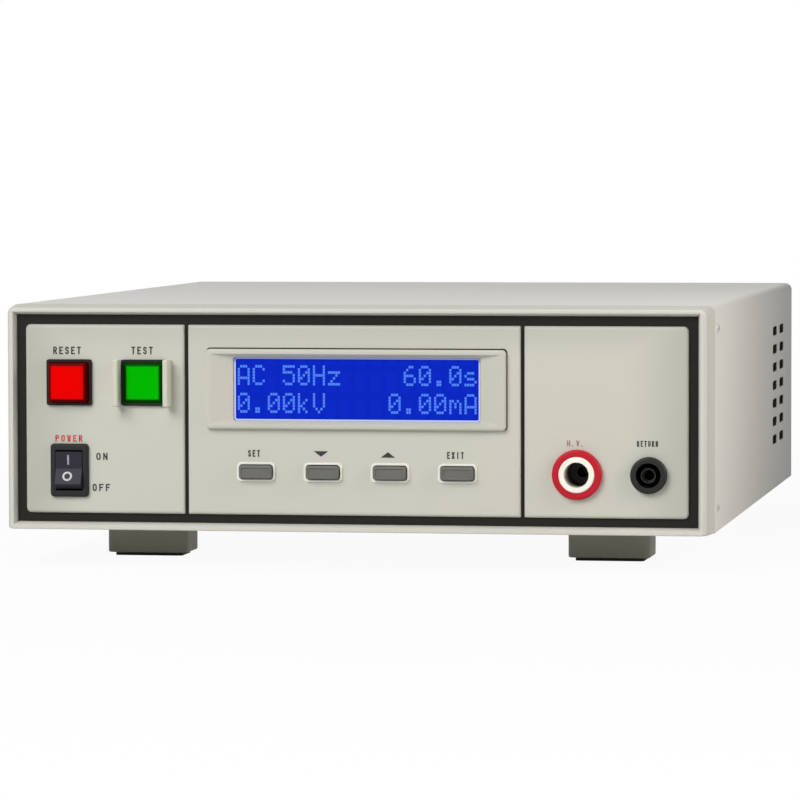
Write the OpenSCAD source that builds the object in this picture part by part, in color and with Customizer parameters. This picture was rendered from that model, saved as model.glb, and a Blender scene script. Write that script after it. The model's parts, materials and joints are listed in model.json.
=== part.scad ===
// Bench hipot tester: an AC withstand voltage tester in a low sheet-metal case, with a
// moulded front frame, three raised panel plates, a display, keys, sockets and a rear fan.
// Millimetres. +X is to the right seen from the front, +Y to the back, +Z up.
// The origin is on the ground, under the middle of the whole outline.
// Pieces are drawn from the front rim (y = 0) and the underside of the case (z = 0).

/* [Case] */
// Width over the sides of the cover
case_w = 280; // [272:1:320]
// Height of the case without its feet
case_h = 88.6; // [86:0.1:110]
// Depth from the front rim to the rear edge of the cover
case_d = 360; // [350:1:420]
// Thickness of the cover and chassis sheet
sheet_t = 1.2; // [1:0.1:1.6]
// Outer bend radius along the top edges of the cover
cover_r = 3; // [2:0.5:4]
// Width of the inward flanges under the cover's sides
flange_w = 12; // [10:1:16]
// Gap between the front frame and the cover
seam = 0.4; // [0.2:0.1:0.8]
// Height of the chassis lips at the sides and the rear
lip_h = 11; // [8:1:13]

/* [Front frame] */
// Depth of the front frame
bezel_d = 16; // [14:1:20]
// Depth of the black panel behind the rim
rim_recess = 3; // [2.5:0.1:3.5]
// How far the rim lies inside the cover at each side
rim_in_side = 2.3; // [1.5:0.1:2.6]
// How far the rim lies below the top of the cover
rim_in_top = 1.7; // [1:0.1:2]
// How far the rim lies above the underside of the case
rim_in_bottom = 0.1; // [0.1:0.1:0.3]
// Side of the cover to the opening of the frame
rim_side = 5; // [4.6:0.1:6]
// Top of the cover to the opening of the frame
rim_top = 3.9; // [3.5:0.1:5]
// Underside of the case to the opening of the frame
rim_bottom = 3.2; // [2.6:0.1:4]
// How far the inner wall of the rim slopes outwards
rim_slope = 1.2; // [0.8:0.1:1.2]
// Radius of the lower corners of the frame
frame_low_r = 1; // [0.5:0.1:2]
// Ledge that the black panel seats against
ledge = 1.4; // [1:0.1:1.5]
// Length of the tabs that reach inside the cover
tab_l = 18; // [16:1:24]
// Thickness of those tabs
tab_t = 3; // [2.5:0.5:4]

/* [Panel] */
// Thickness of the black sub-panel
subpanel_t = 2; // [1.5:0.1:2.5]
// Thickness of the raised plates
plate_t = 1.5; // [1.3:0.1:1.8]
// Black border at the left and right of the plates
border = 3.5; // [2.5:0.1:4.5]
// Black border above the plates
border_top = 3.7; // [2.5:0.1:4.5]
// Black border below the plates
border_low = 3.3; // [2.5:0.1:4.5]
// Black gap between neighbouring plates
plate_gap = 1.4; // [1:0.1:2]
// Width of the centre plate
centre_w = 132; // [126:1:136]
// Rounding of the front edges of the plates
plate_edge = 1.2; // [0.6:0.1:1.2]
// Corner radius at the ends of the row of plates
plate_r = 2; // [1.4:0.1:3]
// Corner radius beside the gaps between the plates
plate_inner_r = 0.5; // [0.3:0.1:1]
// Height of the lower row of controls above the middle of the panel
lower_row = -20.3; // [-24:0.1:-18]

/* [Display] */
// Middle of the display and keys, to the right of the panel's middle
lcd_x = 1.3; // [-3:0.1:3]
// Height of the display above the middle of the panel
lcd_up = 12.2; // [10:0.1:14]
// Width of the display glass
glass_w = 98.4; // [80:0.1:104]
// Height of the display glass
glass_h = 25.6; // [20:0.1:28]
// Thickness of the display glass
glass_t = 3; // [2:0.1:3.5]
// How far the window overlaps the edge of the glass
glass_cover = 0.4; // [0.2:0.1:0.8]
// Window to the outside of the raised bezel, sideways
lcd_bezel_side = 10.3; // [6:0.1:13]
// Window to the outside of the raised bezel, up and down
lcd_bezel_end = 3.3; // [3:0.1:5]
// How much wider the bezel is at the left than at the right
lcd_bezel_extra = 0.7; // [0:0.1:2]
// Groove in the centre plate above the bezel and at its right
lcd_bezel_gap = 0.4; // [0.2:0.05:0.6]
// Corner radius of the window
window_r = 0.8; // [0.4:0.1:1.5]
// Corner radius of the raised bezel
lcd_bezel_r = 1.6; // [1.2:0.1:4]
// How far the bezel stands in front of the plate
lcd_bezel_rise = 2.4; // [1.5:0.1:3]
// Width of the flat rim of the bezel
lcd_rim = 1.9; // [1.5:0.1:2.4]
// Width of the metal frame at the ends of the glass
lcd_frame_side = 2.3; // [1.5:0.1:3]
// Width of the metal frame above and below the glass
lcd_frame_end = 1.4; // [1:0.1:2]
// How far the display's circuit board reaches past its frame
lcd_board_edge = 6.5; // [6:0.1:8]
// Length of the display's spacers
lcd_spacer = 2; // [1.5:0.1:3]

/* [Keys] */
// Number of keys in the row
key_count = 4; // [4]
// Distance between neighbouring keys
key_pitch = 26.65; // [22:0.05:28]
// Width of a key cap
key_w = 12.9; // [12:0.1:14]
// Height of a key cap
key_h = 5.2; // [4.8:0.1:6.5]
// How far a key stands in front of the plate
key_rise = 2.8; // [2:0.1:3.5]
// Travel of a key
key_travel = 1.2; // [0.8:0.1:1.4]
// Corner radius of a key cap
key_r = 1; // [0.8:0.1:2]
// Depth of the dish in the face of a key
key_dish = 0.25; // [0.1:0.05:0.4]
// Gap between a key and its ring
key_gap = 0.35; // [0.2:0.05:0.5]
// Width of the rim that shows round a key
key_ring_rim = 0.85; // [0.6:0.05:1]
// How far a key ring stands in front of the plate
key_ring_rise = 0.8; // [0.5:0.1:1.2]
// Back face of the front wall to the key board
key_board_gap = 8; // [7.6:0.1:10]

/* [Push buttons] */
// Left plate's middle to the first button, to the left
button_left = 14.2; // [13:0.1:16]
// Distance between the two buttons
button_pitch = 30; // [28:0.5:31]
// Height of the buttons above the middle of the panel
button_up = 14.4; // [12:0.1:16]
// Side of the button housing's flange
button_w = 18.2; // [17.8:0.1:19]
// Thickness of the flange
button_flange_t = 1.2; // [0.8:0.1:1.6]
// Side of the cap
cap_w = 15.3; // [14.5:0.1:15.6]
// Side of the cap's flat face
cap_face_w = 13.1; // [11:0.1:13.5]
// Flange to the start of the cap's bevel
cap_rise = 2.2; // [1:0.1:5]
// The same for the start button, which lies low between its guard bars
test_rise = 0.2; // [0.2:0.1:3]
// Height of the cap's bevel
cap_bevel = 1.2; // [1:0.1:2.5]
// Travel of a cap
cap_travel = 2; // [1.5:0.1:3.5]
// Depth of the button body behind the plate
button_body_d = 28; // [26:1:34]
// Radius of the plunger under the cap
plunger_r = 3; // [2.5:0.1:3.5]
// Width of a guard bar beside the start button
guard_bar_w = 2.2; // [1.8:0.1:3]
// How far the guard bars stand in front of the plate
guard_rise = 7.5; // [5:0.1:8.5]

/* [Power switch] */
// Width of the switch flange
switch_w = 15.3; // [15:0.1:16]
// Height of the switch flange
switch_h = 21; // [20.6:0.1:22]
// How far the switch flange stands in front of the plate
switch_rise = 1.9; // [1.4:0.1:2.4]
// Width of the opening for the rocker
rocker_bay_w = 11; // [10:0.1:11.2]
// Height of the opening for the rocker
rocker_bay_h = 16; // [15:0.1:16.6]
// Tilt of the rocker each way
rocker_tilt = 12; // [8:0.5:14]
// Radius of the rocker's trunnions
trunnion_r = 1.2; // [0.9:0.05:1.3]
// Plate's face to the trunnions, backwards
trunnion_back = 0.9; // [0.8:0.1:1.4]
// Depth of the switch body behind the plate
switch_body_d = 16; // [14:1:20]

/* [Sockets] */
// Right plate's middle to the first socket, to the left
socket_left = 11.3; // [10:0.1:13]
// Distance between the two sockets
socket_pitch = 28; // [25:0.5:28.5]
// Radius of the high-voltage socket's flange
hv_flange_r = 9.75; // [9.4:0.05:10.5]
// Radius of the white insulator
hv_insulator_r = 7; // [6.8:0.05:7.4]
// Radius of the high-voltage socket's bore
hv_bore_r = 4.9; // [4:0.05:5.2]
// Depth of that bore
hv_bore_d = 20; // [16:1:24]
// How far the high-voltage flange stands in front of the plate
hv_rise = 2.5; // [1.5:0.1:3.5]
// Radius of the return socket's flange
return_r = 7.15; // [7:0.05:8]
// Outer radius of the groove in the return socket
groove_r = 4.85; // [4.2:0.05:5]
// Radius of the core in the return socket
core_r = 2.95; // [2.8:0.05:3.2]
// Radius of the plug bore in the return contact
plug_r = 2; // [1.8:0.05:2.1]
// How far the return flange stands in front of the plate
return_rise = 2.9; // [2:0.1:4]
// Length of the sockets behind the plate
socket_d = 32; // [30:1:40]

/* [Feet] */
// Width of a foot
foot_w = 33; // [26:1:38]
// Depth of a foot
foot_d = 23; // [18:1:28]
// Height of a foot under the case, without its pad
foot_h = 13.1; // [10:0.1:16]
// Corner radius of a foot
foot_r = 3; // [2.5:0.5:8]
// Thickness of a foot's rubber pad
pad_t = 1.4; // [1:0.1:2]
// How far the pad lies inside the foot's edge
pad_in = 2.7; // [2:0.1:3.5]
// Chamfer round the underside of a foot
foot_edge = 0.4; // [0.3:0.1:1.5]
// Side of the cover to the middle of a foot
foot_side = 45.9; // [30:0.1:60]
// Front rim to the front of the front feet, and the same at the rear
foot_y = 52; // [40:1:70]

/* [Side vents] */
// Rows of slots in each column
vent_rows = 7; // [3:1:8]
// Columns of slots on each side
vent_cols = 2; // [1:1:4]
// Length of a slot
vent_l = 20; // [14:1:26]
// Height of a slot
vent_h = 4; // [3:0.5:5]
// Distance between neighbouring rows
vent_pitch = 8; // [7:0.5:9]
// Distance between neighbouring columns
vent_col_pitch = 32.5; // [28:0.5:36]
// Rear edge of the cover to the middle of the last column
vent_back = 51.5; // [40:0.5:60]
// Height of the slots' middle above the middle of the case
vent_up = 1.3; // [-2:0.1:3]

/* [Rear] */
// Thickness of the rear panel
rear_t = 1.5; // [1:0.1:2]
// How far the rear panel lies inside the cover's rear edge
rear_inset = 1; // [0.5:0.5:6]
// Side of the cover to the middle of the fan
fan_side = 68; // [50:1:72]
// Side of the fan
fan_w = 60; // [60]
// Depth of the fan
fan_d = 25; // [20:1:28]
// Distance between the fan's screws
fan_pitch = 50; // [50]
// Number of fan blades
fan_blades = 7; // [5:1:9]
// Side of the cover to the middle of the mains inlet
inlet_side = 35; // [30:1:40]
// Mains inlet to the fuse holder and the ground stud
fuse_pitch = 39; // [36:1:44]
// Fuse holder to the remote ports
port_pitch = 48; // [30:1:54]
// Middle of the rear panel to its upper row, and down to its lower row
rear_row = 16; // [14:1:17]
// Length of the ground stud behind the rear panel
stud_l = 12; // [12:1:16]
// Length of the fuse cap's head
fuse_head_l = 7; // [5:0.5:8]

/* [Inside] */
// Height of the circuit boards above the chassis floor
standoff_h = 8; // [6:0.5:12]
// Thickness of the circuit boards
board_t = 1.6; // [1:0.1:2]
// Middle of the case to the middle of the amplifier board, to the left
bay_left = 5; // [0:1:8]
// Width of the bay for the amplifier board
bay_w = 46; // [40:1:52]
// Clear room between neighbouring units
unit_gap = 6; // [4:1:8]
// Room between the units and the sides of the case
side_room = 14; // [12:1:18]
// Front rim to the front edge of the main board
main_board_y = 45; // [42:1:50]
// Depth of the main board
main_board_d = 140; // [120:1:146]
// Height of the mains transformer's winding
toroid_h = 42; // [30:1:46]
// Middle of the case to the high-voltage transformer's core
hv_core_x = 40; // [38:1:46]
// Front rim to the front of the high-voltage transformer's core
hv_core_y = 102; // [96:1:110]
// Height of that core
hv_core_h = 70; // [60:1:74]
// Stack thickness of that core
hv_core_d = 45; // [36:1:50]
// Height of the heat sink
sink_h = 40; // [30:1:60]
// Number of fins on the heat sink
sink_fins = 12; // [6:1:14]

/* [Fits] */
// Gap of a body in its panel cut-out
cutout_gap = 0.1; // [0.1:0.05:0.2]
// Gap round a piece that drops into its pocket
pocket_gap = 0.2; // [0.1:0.05:0.3]
// Gap round a key or a cap in its guide
slide_gap = 0.2; // [0.15:0.05:0.3]
// Radial gap of a shaft or plunger in its bore
run_gap = 0.05; // [0.03:0.01:0.08]
// Radial gap of a screw in its hole
screw_gap = 0.1; // [0.05:0.05:0.2]

/* [Hidden] */
$fn = 48;
hull_fn = 32;
cut = 1;
half_w = case_w / 2;

// Planes of the front, measured back from the rim
panel_y = rim_recess;
face_y = panel_y - plate_t;
wall_y = panel_y + subpanel_t;
wall_back = wall_y + sheet_t;

// Opening of the front frame, and the pocket behind its ledge
opening_w = case_w - 2 * rim_side;
opening_h = case_h - rim_top - rim_bottom;
opening_z = rim_bottom + opening_h / 2;
pocket_w = opening_w + 2 * ledge;
pocket_h = opening_h + 2 * ledge;
tab_x = half_w - sheet_t - pocket_gap;
tab_z0 = 2 * sheet_t + 2;
tab_z1 = case_h - 4;

// Raised plates
plates_w = opening_w - 2 * border;
plates_h = opening_h - border_top - border_low;
panel_z = rim_bottom + border_low + plates_h / 2;
side_w = (plates_w - centre_w) / 2 - plate_gap;
side_x = centre_w / 2 + plate_gap + side_w / 2;

// Places of the controls
lcd_z = panel_z + lcd_up;
row_z = panel_z + lower_row;
button_z = panel_z + button_up;
reset_x = -side_x - button_left;
test_x = reset_x + button_pitch;
power_x = reset_x;
hv_x = side_x - socket_left;
return_x = hv_x + socket_pitch;
function key_x(i) = lcd_x + (i - (key_count - 1) / 2) * key_pitch;

// Display stack, all from the glass
window_w = glass_w - 2 * glass_cover;
window_h = glass_h - 2 * glass_cover;
lcd_bezel_w = window_w + 2 * lcd_bezel_side + lcd_bezel_extra;
lcd_bezel_x = lcd_x - lcd_bezel_extra / 2;
lcd_bezel_h = window_h + 2 * lcd_bezel_end;
lcd_hole_w = lcd_bezel_w + lcd_bezel_gap + 2 * run_gap;
lcd_hole_h = lcd_bezel_h + lcd_bezel_gap + 2 * run_gap;
lcd_frame_w = glass_w + 2 * lcd_frame_side;
lcd_frame_h = glass_h + 2 * lcd_frame_end;
lcd_board_w = lcd_frame_w + 2 * lcd_board_edge;
lcd_board_h = lcd_frame_h + 2 * (lcd_board_edge - 2);
lcd_frame_y = face_y + 0.3;
glass_y = lcd_frame_y + pocket_gap;
lcd_board_y = wall_back + lcd_spacer;
spacer_r = 2.5;
lcd_spacer_x = (lcd_board_w + lcd_frame_w) / 4;
lcd_spacer_z = lcd_board_h / 2 - spacer_r - 0.5;

// Key stack
key_sleeve_t = 0.4;
key_bay_w = key_w + 2 * key_gap;
key_bay_h = key_h + 2 * key_gap;
key_bay_r = key_r + key_gap;
key_sleeve_w = key_bay_w + 2 * key_sleeve_t;
key_sleeve_h = key_bay_h + 2 * key_sleeve_t;
key_sleeve_r = key_bay_r + key_sleeve_t;
key_ring_w = key_bay_w + 2 * key_ring_rim;
key_ring_h = key_bay_h + 2 * key_ring_rim;
key_ring_r = key_sleeve_r + 0.1;
key_edge = 0.5;
key_collar_t = 1;
key_collar_y = wall_back + pocket_gap;
key_stem_r = 1.6;
key_board_y = wall_back + key_board_gap;
key_board_w = (key_count - 1) * key_pitch + 30;
key_board_h = 16;
tact_h = 3.5;
tact_tip_h = 0.7;
tact_w = 6;
tact_tip_y = key_board_y - tact_h - tact_tip_h;
key_stem_end = tact_tip_y - key_travel - pocket_gap;
key_spacer_x = key_board_w / 2 - spacer_r - 1;

// Push buttons
button_wall = 0.8;
cap_bay = cap_w + 2 * slide_gap;
button_body = cap_bay + 2 * button_wall;
cap_skirt_d = 5;
cap_floor_y = face_y + cap_skirt_d + cap_travel + 2;
plunger_guide = 3;
plunger_end = cap_floor_y + plunger_guide + 1;
button_end = face_y + button_body_d;
button_front = face_y - button_flange_t;
function cap_face_y(rise) = button_front - rise - cap_bevel;
test_flange_w = button_w - 0.4;

// Power switch
switch_body_w = rocker_bay_w + 2;
switch_body_h = rocker_bay_h + 3;
pivot_y = face_y + trunnion_back;
rocker_w = rocker_bay_w - 2 * slide_gap;
rocker_r = rocker_bay_h / 2 - 0.3;
rocker_front = 3;
rocker_rear = 2.5;
trunnion_l = rocker_bay_w / 2 + 0.95;

// Sockets
hv_front = face_y - hv_rise;
hv_barrel_r = hv_insulator_r + run_gap + 1;
hv_tip = hv_front - 0.6;
hv_contact_r = hv_bore_r - 1.9;
hv_step_y = hv_tip + hv_bore_d;
return_front = face_y - return_rise;
return_barrel_r = groove_r + 1.15;
groove_end = face_y + socket_d - 12;
return_contact_r = core_r - 0.55;
nut_t = 3;

// Case levels and the whole outline
floor_z = sheet_t;
floor_top = 2 * sheet_t;
ground = foot_h + pad_t;
rear_y = case_d - rear_inset;
rear_in = rear_y - rear_t;
rear_z = case_h / 2;
front_reach = max(-cap_face_y(cap_rise), guard_rise - face_y);
rear_reach = rear_y + stud_l;
mid_y = (rear_reach - front_reach) / 2;
rear_foot_y = case_d - foot_y - foot_d;
foot_x = half_w - foot_side;

// Screws: radius of the shank, head radius and head height
m3 = [1.5, 2.6, 0.6];
m4 = [2, 3.5, 2.4];
side_screw_y = bezel_d + 12.5;
side_screw_in = 9.2;
side_screws = [side_screw_in, case_h - side_screw_in];
cover_screw_x = half_w - sheet_t - flange_w / 2;
cover_screws = [case_d / 6, case_d / 2, case_d * 7 / 8];
rear_screws = [
    20 - half_w,
    (inlet_side + fuse_pitch + port_pitch / 2) - half_w,
    half_w - fan_side - fan_w / 2 - 14,
    half_w - 20
];
rear_screw_z = floor_top + lip_h / 2;

// Fan
fan_x = half_w - fan_side;
fan_z = rear_z + 1;
fan_in = rear_in - fan_d;
fan_bore_r = fan_w / 2 - 1.7;
fan_hub_r = 14;
fan_tip_r = fan_bore_r - 0.9;
fan_base_t = 3;
fan_shaft_r = 1.5;
guard_t = 1.6;
rotor_y = fan_in + 2.5;
rotor_end = rear_in - fan_base_t - 1;

// Rear fittings
inlet_x = inlet_side - half_w;
fuse_x = inlet_x + fuse_pitch;
port_x = fuse_x + port_pitch;
upper_z = rear_z + rear_row;
lower_z = rear_z - rear_row;
inlet_flange = [48, 23, 2.5];
inlet_body = [27.4, 20];
inlet_bay = [24.4, 16.4];
inlet_chamfer = 4;
inlet_screw = 20;
inlet_floor_y = rear_y - 12;
inlet_end = rear_in - 14;
inlet_pin_tip = rear_y - 4;
inlet_pins_at = [[0, 3.6], [-7, -3.6], [7, -3.6]];
inlet_pin = [2, 4.4];
fuse_body_r = 6;
fuse_bay_r = 5.2;
fuse_flange_t = 2.5;
fuse_end = rear_in - 28;
port_plate = [30.8, 12.6, 1];
port_body = [19, 10.6];
port_posts = 12.5;
stud_r = 2;

// Inside
board_z = floor_top + standoff_h;
board_top = board_z + board_t;
standoff_r = 3;
bay_x0 = -bay_left - bay_w / 2;
bay_x1 = -bay_left + bay_w / 2;
main_board_w = half_w - side_room + bay_x1;
main_x = side_room - half_w + main_board_w / 2;
main_y = main_board_y + main_board_d / 2;
standoff_in = 6;
toroid_r = (half_w - side_room + bay_x0 - unit_gap) / 2;
toroid_x = side_room - half_w + toroid_r;
toroid_y = rear_in - 32 - toroid_r;
toroid_hole_r = toroid_r * 0.4;
toroid_pad_t = 2.5;
toroid_plate_t = 2;
toroid_bolt_r = 3;
toroid_top = floor_top + 2 * toroid_pad_t + toroid_h + toroid_plate_t;
hv_core_w = half_w - side_room - hv_core_x;
hv_tx = hv_core_x + hv_core_w / 2;
hv_ty = hv_core_y + hv_core_d / 2;
hv_leg = hv_core_w / 3;
hv_yoke = hv_leg / 2;
hv_win_h = hv_core_h - 2 * hv_yoke;
hv_win_w = (hv_core_w - hv_leg - 2 * hv_yoke) / 2;
bobbin_t = 1.5;
strap_t = 1.5;
strap_foot = 10;
sink_w = half_w - side_room - bay_x1 - 2 * unit_gap;
sink_x = bay_x1 + unit_gap + sink_w / 2;
sink_y1 = fan_in - unit_gap;
sink_y0 = main_board_y + main_board_d + 3 * unit_gap;
sink_l = sink_y1 - sink_y0;
sink_y = (sink_y0 + sink_y1) / 2;
sink_base = 6;
fin_t = 2;
amp_w = bay_w - 2;
amp_x = -bay_left;
ribbon_w = 30;
ribbon_t = 1;
ribbon_r = 6;
ribbon_z = lcd_z + 6;
ribbon_y = lcd_board_y + board_t;
ribbon_drop_y = main_y - main_board_d / 2 + 12;
header_h = 9;

// Moves a piece from the front rim and case underside to the origin on the ground
module placed() {
    translate([0, -mid_y, ground]) children();
}

// Rounded rectangle with true arcs, centred
module rounded(w, h, r) {
    square([w, h - 2 * r], center = true);
    square([w - 2 * r, h], center = true);
    for (sx = [-1, 1], sy = [-1, 1])
        translate([sx * (w / 2 - r), sy * (h / 2 - r)]) circle(r);
}

// Front-view outline carried from y0 back to y1
module slab(y0, y1) {
    translate([0, y1, 0]) rotate([90, 0, 0]) linear_extrude(y1 - y0) children();
}

// Side-view outline, drawn as [y, z], carried across a width centred on x = 0
module across(w) {
    rotate([90, 0, 90]) translate([0, 0, -w / 2]) linear_extrude(w) children();
}

// Profile drawn as [radius, y], turned about an axis along Y
module turned() {
    rotate([-90, 0, 0]) rotate_extrude() children();
}

// Round bars along each axis
module rod_y(r, y0, y1) {
    translate([0, y0, 0]) rotate([-90, 0, 0]) cylinder(r = r, h = y1 - y0);
}
module rod_x(r, x0, x1) {
    translate([x0, 0, 0]) rotate([0, 90, 0]) cylinder(r = r, h = x1 - x0);
}
module rod_z(r, z0, z1) {
    translate([0, 0, z0]) cylinder(r = r, h = z1 - z0);
}

// Box given by its corners
module block(low, high) {
    translate(low) cube(high - low);
}

// Rounded plate whose front edges at y0 are rolled over
module pillow(w, h, r, y0, y1, edge) {
    hull() for (a = [0, 30, 60, 90]) {
        inset = edge * (1 - sin(a));
        slab(y0 + edge * (1 - cos(a)), y1)
            rounded(w - 2 * inset, h - 2 * inset, max(r - inset, 0.2), $fn = hull_fn);
    }
}

// Round flange in half section, from r_in to r_out, with a rolled front edge at y0
module flange_section(r_in, r_out, y0, y1, edge) {
    translate([r_in, y0 + edge]) square([r_out - r_in, y1 - y0 - edge]);
    translate([r_in, y0]) square([r_out - r_in - edge, edge]);
    translate([r_out - edge, y0 + edge]) circle(edge);
}

// Pan-head screw with its head's seat at z = 0 and its shank pointing down
module screw(size, l) {
    rod_z(size[0], -l, 0);
    rotate_extrude() intersection() {
        square([size[1], size[2]]);
        translate([0, size[2] - size[1] * 1.6]) circle(size[1] * 1.6);
    }
}

// Rectangular cut-out for a body of the given size
module cutout(size) {
    square([size[0] + 2 * cutout_gap, size[1] + 2 * cutout_gap], center = true);
}

// Cut-outs that the controls share in every layer of the front
module front_holes() {
    translate([lcd_x, lcd_z]) cutout([lcd_frame_w, lcd_frame_h]);
    for (i = [0 : key_count - 1])
        translate([key_x(i), row_z])
            rounded(key_sleeve_w + 2 * cutout_gap, key_sleeve_h + 2 * cutout_gap, key_sleeve_r + cutout_gap);
    for (x = [reset_x, test_x])
        translate([x, button_z]) cutout([button_body, button_body]);
    translate([power_x, row_z]) cutout([switch_body_w, switch_body_h]);
    translate([hv_x, row_z]) circle(hv_barrel_r + cutout_gap);
    translate([return_x, row_z]) circle(return_barrel_r + cutout_gap);
}

// Outline of the bent cover, standing on z = 0
module cover_outline(w, h, r) {
    translate([-w / 2, 0]) square([w, h - r]);
    translate([-w / 2 + r, 0]) square([w - 2 * r, h]);
    for (s = [-1, 1])
        translate([s * (w / 2 - r), h - r]) circle(r);
}

// Slot through a side wall, with its long way along Y
module vent_slot() {
    cube([4 * sheet_t, vent_l - vent_h, vent_h], center = true);
    for (s = [-1, 1])
        translate([0, s * (vent_l - vent_h) / 2, 0])
            rotate([0, 90, 0]) cylinder(d = vent_h, h = 4 * sheet_t, center = true);
}

module top_cover() {
    inner_w = case_w - 2 * sheet_t;
    color([0.80, 0.79, 0.77]) placed() difference() {
        slab(bezel_d + seam, case_d) difference() {
            cover_outline(case_w, case_h, cover_r);
            translate([0, sheet_t]) cover_outline(inner_w, case_h - 2 * sheet_t, cover_r - sheet_t);
            square([inner_w - 2 * flange_w, 4 * sheet_t], center = true);
        }
        for (s = [-1, 1], c = [0 : vent_cols - 1], r = [0 : vent_rows - 1])
            translate([
                s * half_w,
                case_d - vent_back - c * vent_col_pitch,
                case_h / 2 + vent_up + (r - (vent_rows - 1) / 2) * vent_pitch
            ]) vent_slot();
        for (s = [-1, 1], z = side_screws)
            translate([s * half_w, side_screw_y, z]) rod_x(m3[0] + screw_gap, -cut - sheet_t, cut + sheet_t);
        for (s = [-1, 1], y = cover_screws)
            translate([s * cover_screw_x, y, 0]) rod_z(m3[0] + screw_gap, -cut, sheet_t + cut);
    }
}

module bottom_chassis() {
    front_x = pocket_w / 2 - pocket_gap;
    rear_x = half_w - sheet_t - pocket_gap;
    wall_top = opening_z + pocket_h / 2 - pocket_gap;
    lip_y = bezel_d + tab_l + 2;
    color([0.68, 0.69, 0.70]) placed() difference() {
        union() {
            block([-front_x, wall_y, floor_z], [front_x, bezel_d + 1, floor_top]);
            block([-rear_x, bezel_d + 1, floor_z], [rear_x, rear_y, floor_top]);
            block([-front_x, wall_y, floor_z], [front_x, wall_back, wall_top]);
            block([-rear_x, rear_in - sheet_t, floor_z], [rear_x, rear_in, floor_top + lip_h]);
            for (s = [-1, 1])
                translate([s * (rear_x - sheet_t / 2), 0, 0])
                    block([-sheet_t / 2, lip_y, floor_z], [sheet_t / 2, rear_in, floor_top + lip_h]);
        }
        slab(wall_y - cut, wall_back + cut) front_holes();
        for (s = [-1, 1], y = cover_screws)
            translate([s * cover_screw_x, y, 0]) rod_z(m3[0] + screw_gap, 0, floor_top + cut);
        for (s = [-1, 1], y = [foot_y, rear_foot_y])
            translate([s * foot_x, y + foot_d / 2, 0]) rod_z(m4[0] + screw_gap, 0, floor_top + cut);
        for (x = rear_screws)
            translate([x, 0, rear_screw_z]) rod_y(m3[0] + screw_gap, rear_in - sheet_t - cut, rear_in + cut);
    }
}

module rear_panel() {
    panel_w = case_w - 2 * sheet_t - 2 * pocket_gap;
    top = case_h - sheet_t - pocket_gap;
    color([0.72, 0.72, 0.71]) placed() slab(rear_in, rear_y) difference() {
        translate([-panel_w / 2, floor_top]) square([panel_w, top - floor_top]);
        translate([fan_x, fan_z]) circle(fan_bore_r);
        for (sx = [-1, 1], sz = [-1, 1])
            translate([fan_x + sx * fan_pitch / 2, fan_z + sz * fan_pitch / 2]) circle(m4[0] + screw_gap);
        translate([inlet_x, lower_z]) cutout(inlet_body);
        for (s = [-1, 1])
            translate([inlet_x + s * inlet_screw, lower_z]) circle(m3[0] + screw_gap);
        translate([fuse_x, lower_z]) circle(fuse_body_r + cutout_gap);
        translate([fuse_x, upper_z]) circle(stud_r + screw_gap);
        for (z = [lower_z, upper_z])
            translate([port_x, z]) cutout(port_body);
        for (x = rear_screws)
            translate([x, rear_screw_z]) circle(m3[0] + screw_gap);
    }
}

// Corners of the front frame: round at the top, nearly square below
module frame_outline(w, z0, z1, r) {
    for (s = [-1, 1]) {
        translate([s * (w / 2 - r), z1 - r]) circle(r, $fn = hull_fn);
        translate([s * (w / 2 - frame_low_r), z0 + frame_low_r]) circle(frame_low_r, $fn = hull_fn);
    }
}

module front_bezel() {
    rim_w = case_w - 2 * rim_in_side;
    mid_w = (rim_w + 2 * case_w) / 3;
    color([0.80, 0.79, 0.76]) placed() difference() {
        union() {
            hull() {
                slab(0, cut) frame_outline(rim_w, rim_in_bottom, case_h - rim_in_top, cover_r - 0.5);
                slab(bezel_d / 4, bezel_d / 2)
                    frame_outline(mid_w, rim_in_bottom / 3, case_h - rim_in_top / 3, cover_r);
                slab(bezel_d * 0.75, bezel_d) frame_outline(case_w, 0, case_h, cover_r);
            }
            for (s = [-1, 1])
                translate([s * (tab_x - tab_t / 2), 0, 0])
                    block([-tab_t / 2, bezel_d - cut, tab_z0], [tab_t / 2, bezel_d + tab_l, tab_z1]);
        }
        hull() {
            slab(-cut, 0) translate([0, opening_z])
                square([opening_w + 2 * rim_slope, opening_h + 2 * rim_slope], center = true);
            slab(panel_y, panel_y + cut / 2)
                translate([0, opening_z]) square([opening_w, opening_h], center = true);
        }
        slab(panel_y, bezel_d) translate([0, opening_z]) square([pocket_w, pocket_h], center = true);
        block([-pocket_w / 2, wall_y, floor_z], [pocket_w / 2, bezel_d + cut, opening_z]);
        slab(bezel_d - cut, bezel_d + cut) translate([0, opening_z])
            square([pocket_w - 2 * tab_t, pocket_h], center = true);
        for (s = [-1, 1], z = side_screws)
            translate([s * tab_x, side_screw_y, z]) rod_x(m3[0] + screw_gap, -2 * tab_t, 2 * tab_t);
    }
}

module front_subpanel() {
    plate = [pocket_w - 2 * pocket_gap, pocket_h - 2 * pocket_gap];
    color([0.14, 0.14, 0.13]) placed() slab(panel_y, wall_y) difference() {
        translate([0, opening_z]) square(plate, center = true);
        front_holes();
    }
}

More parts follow.
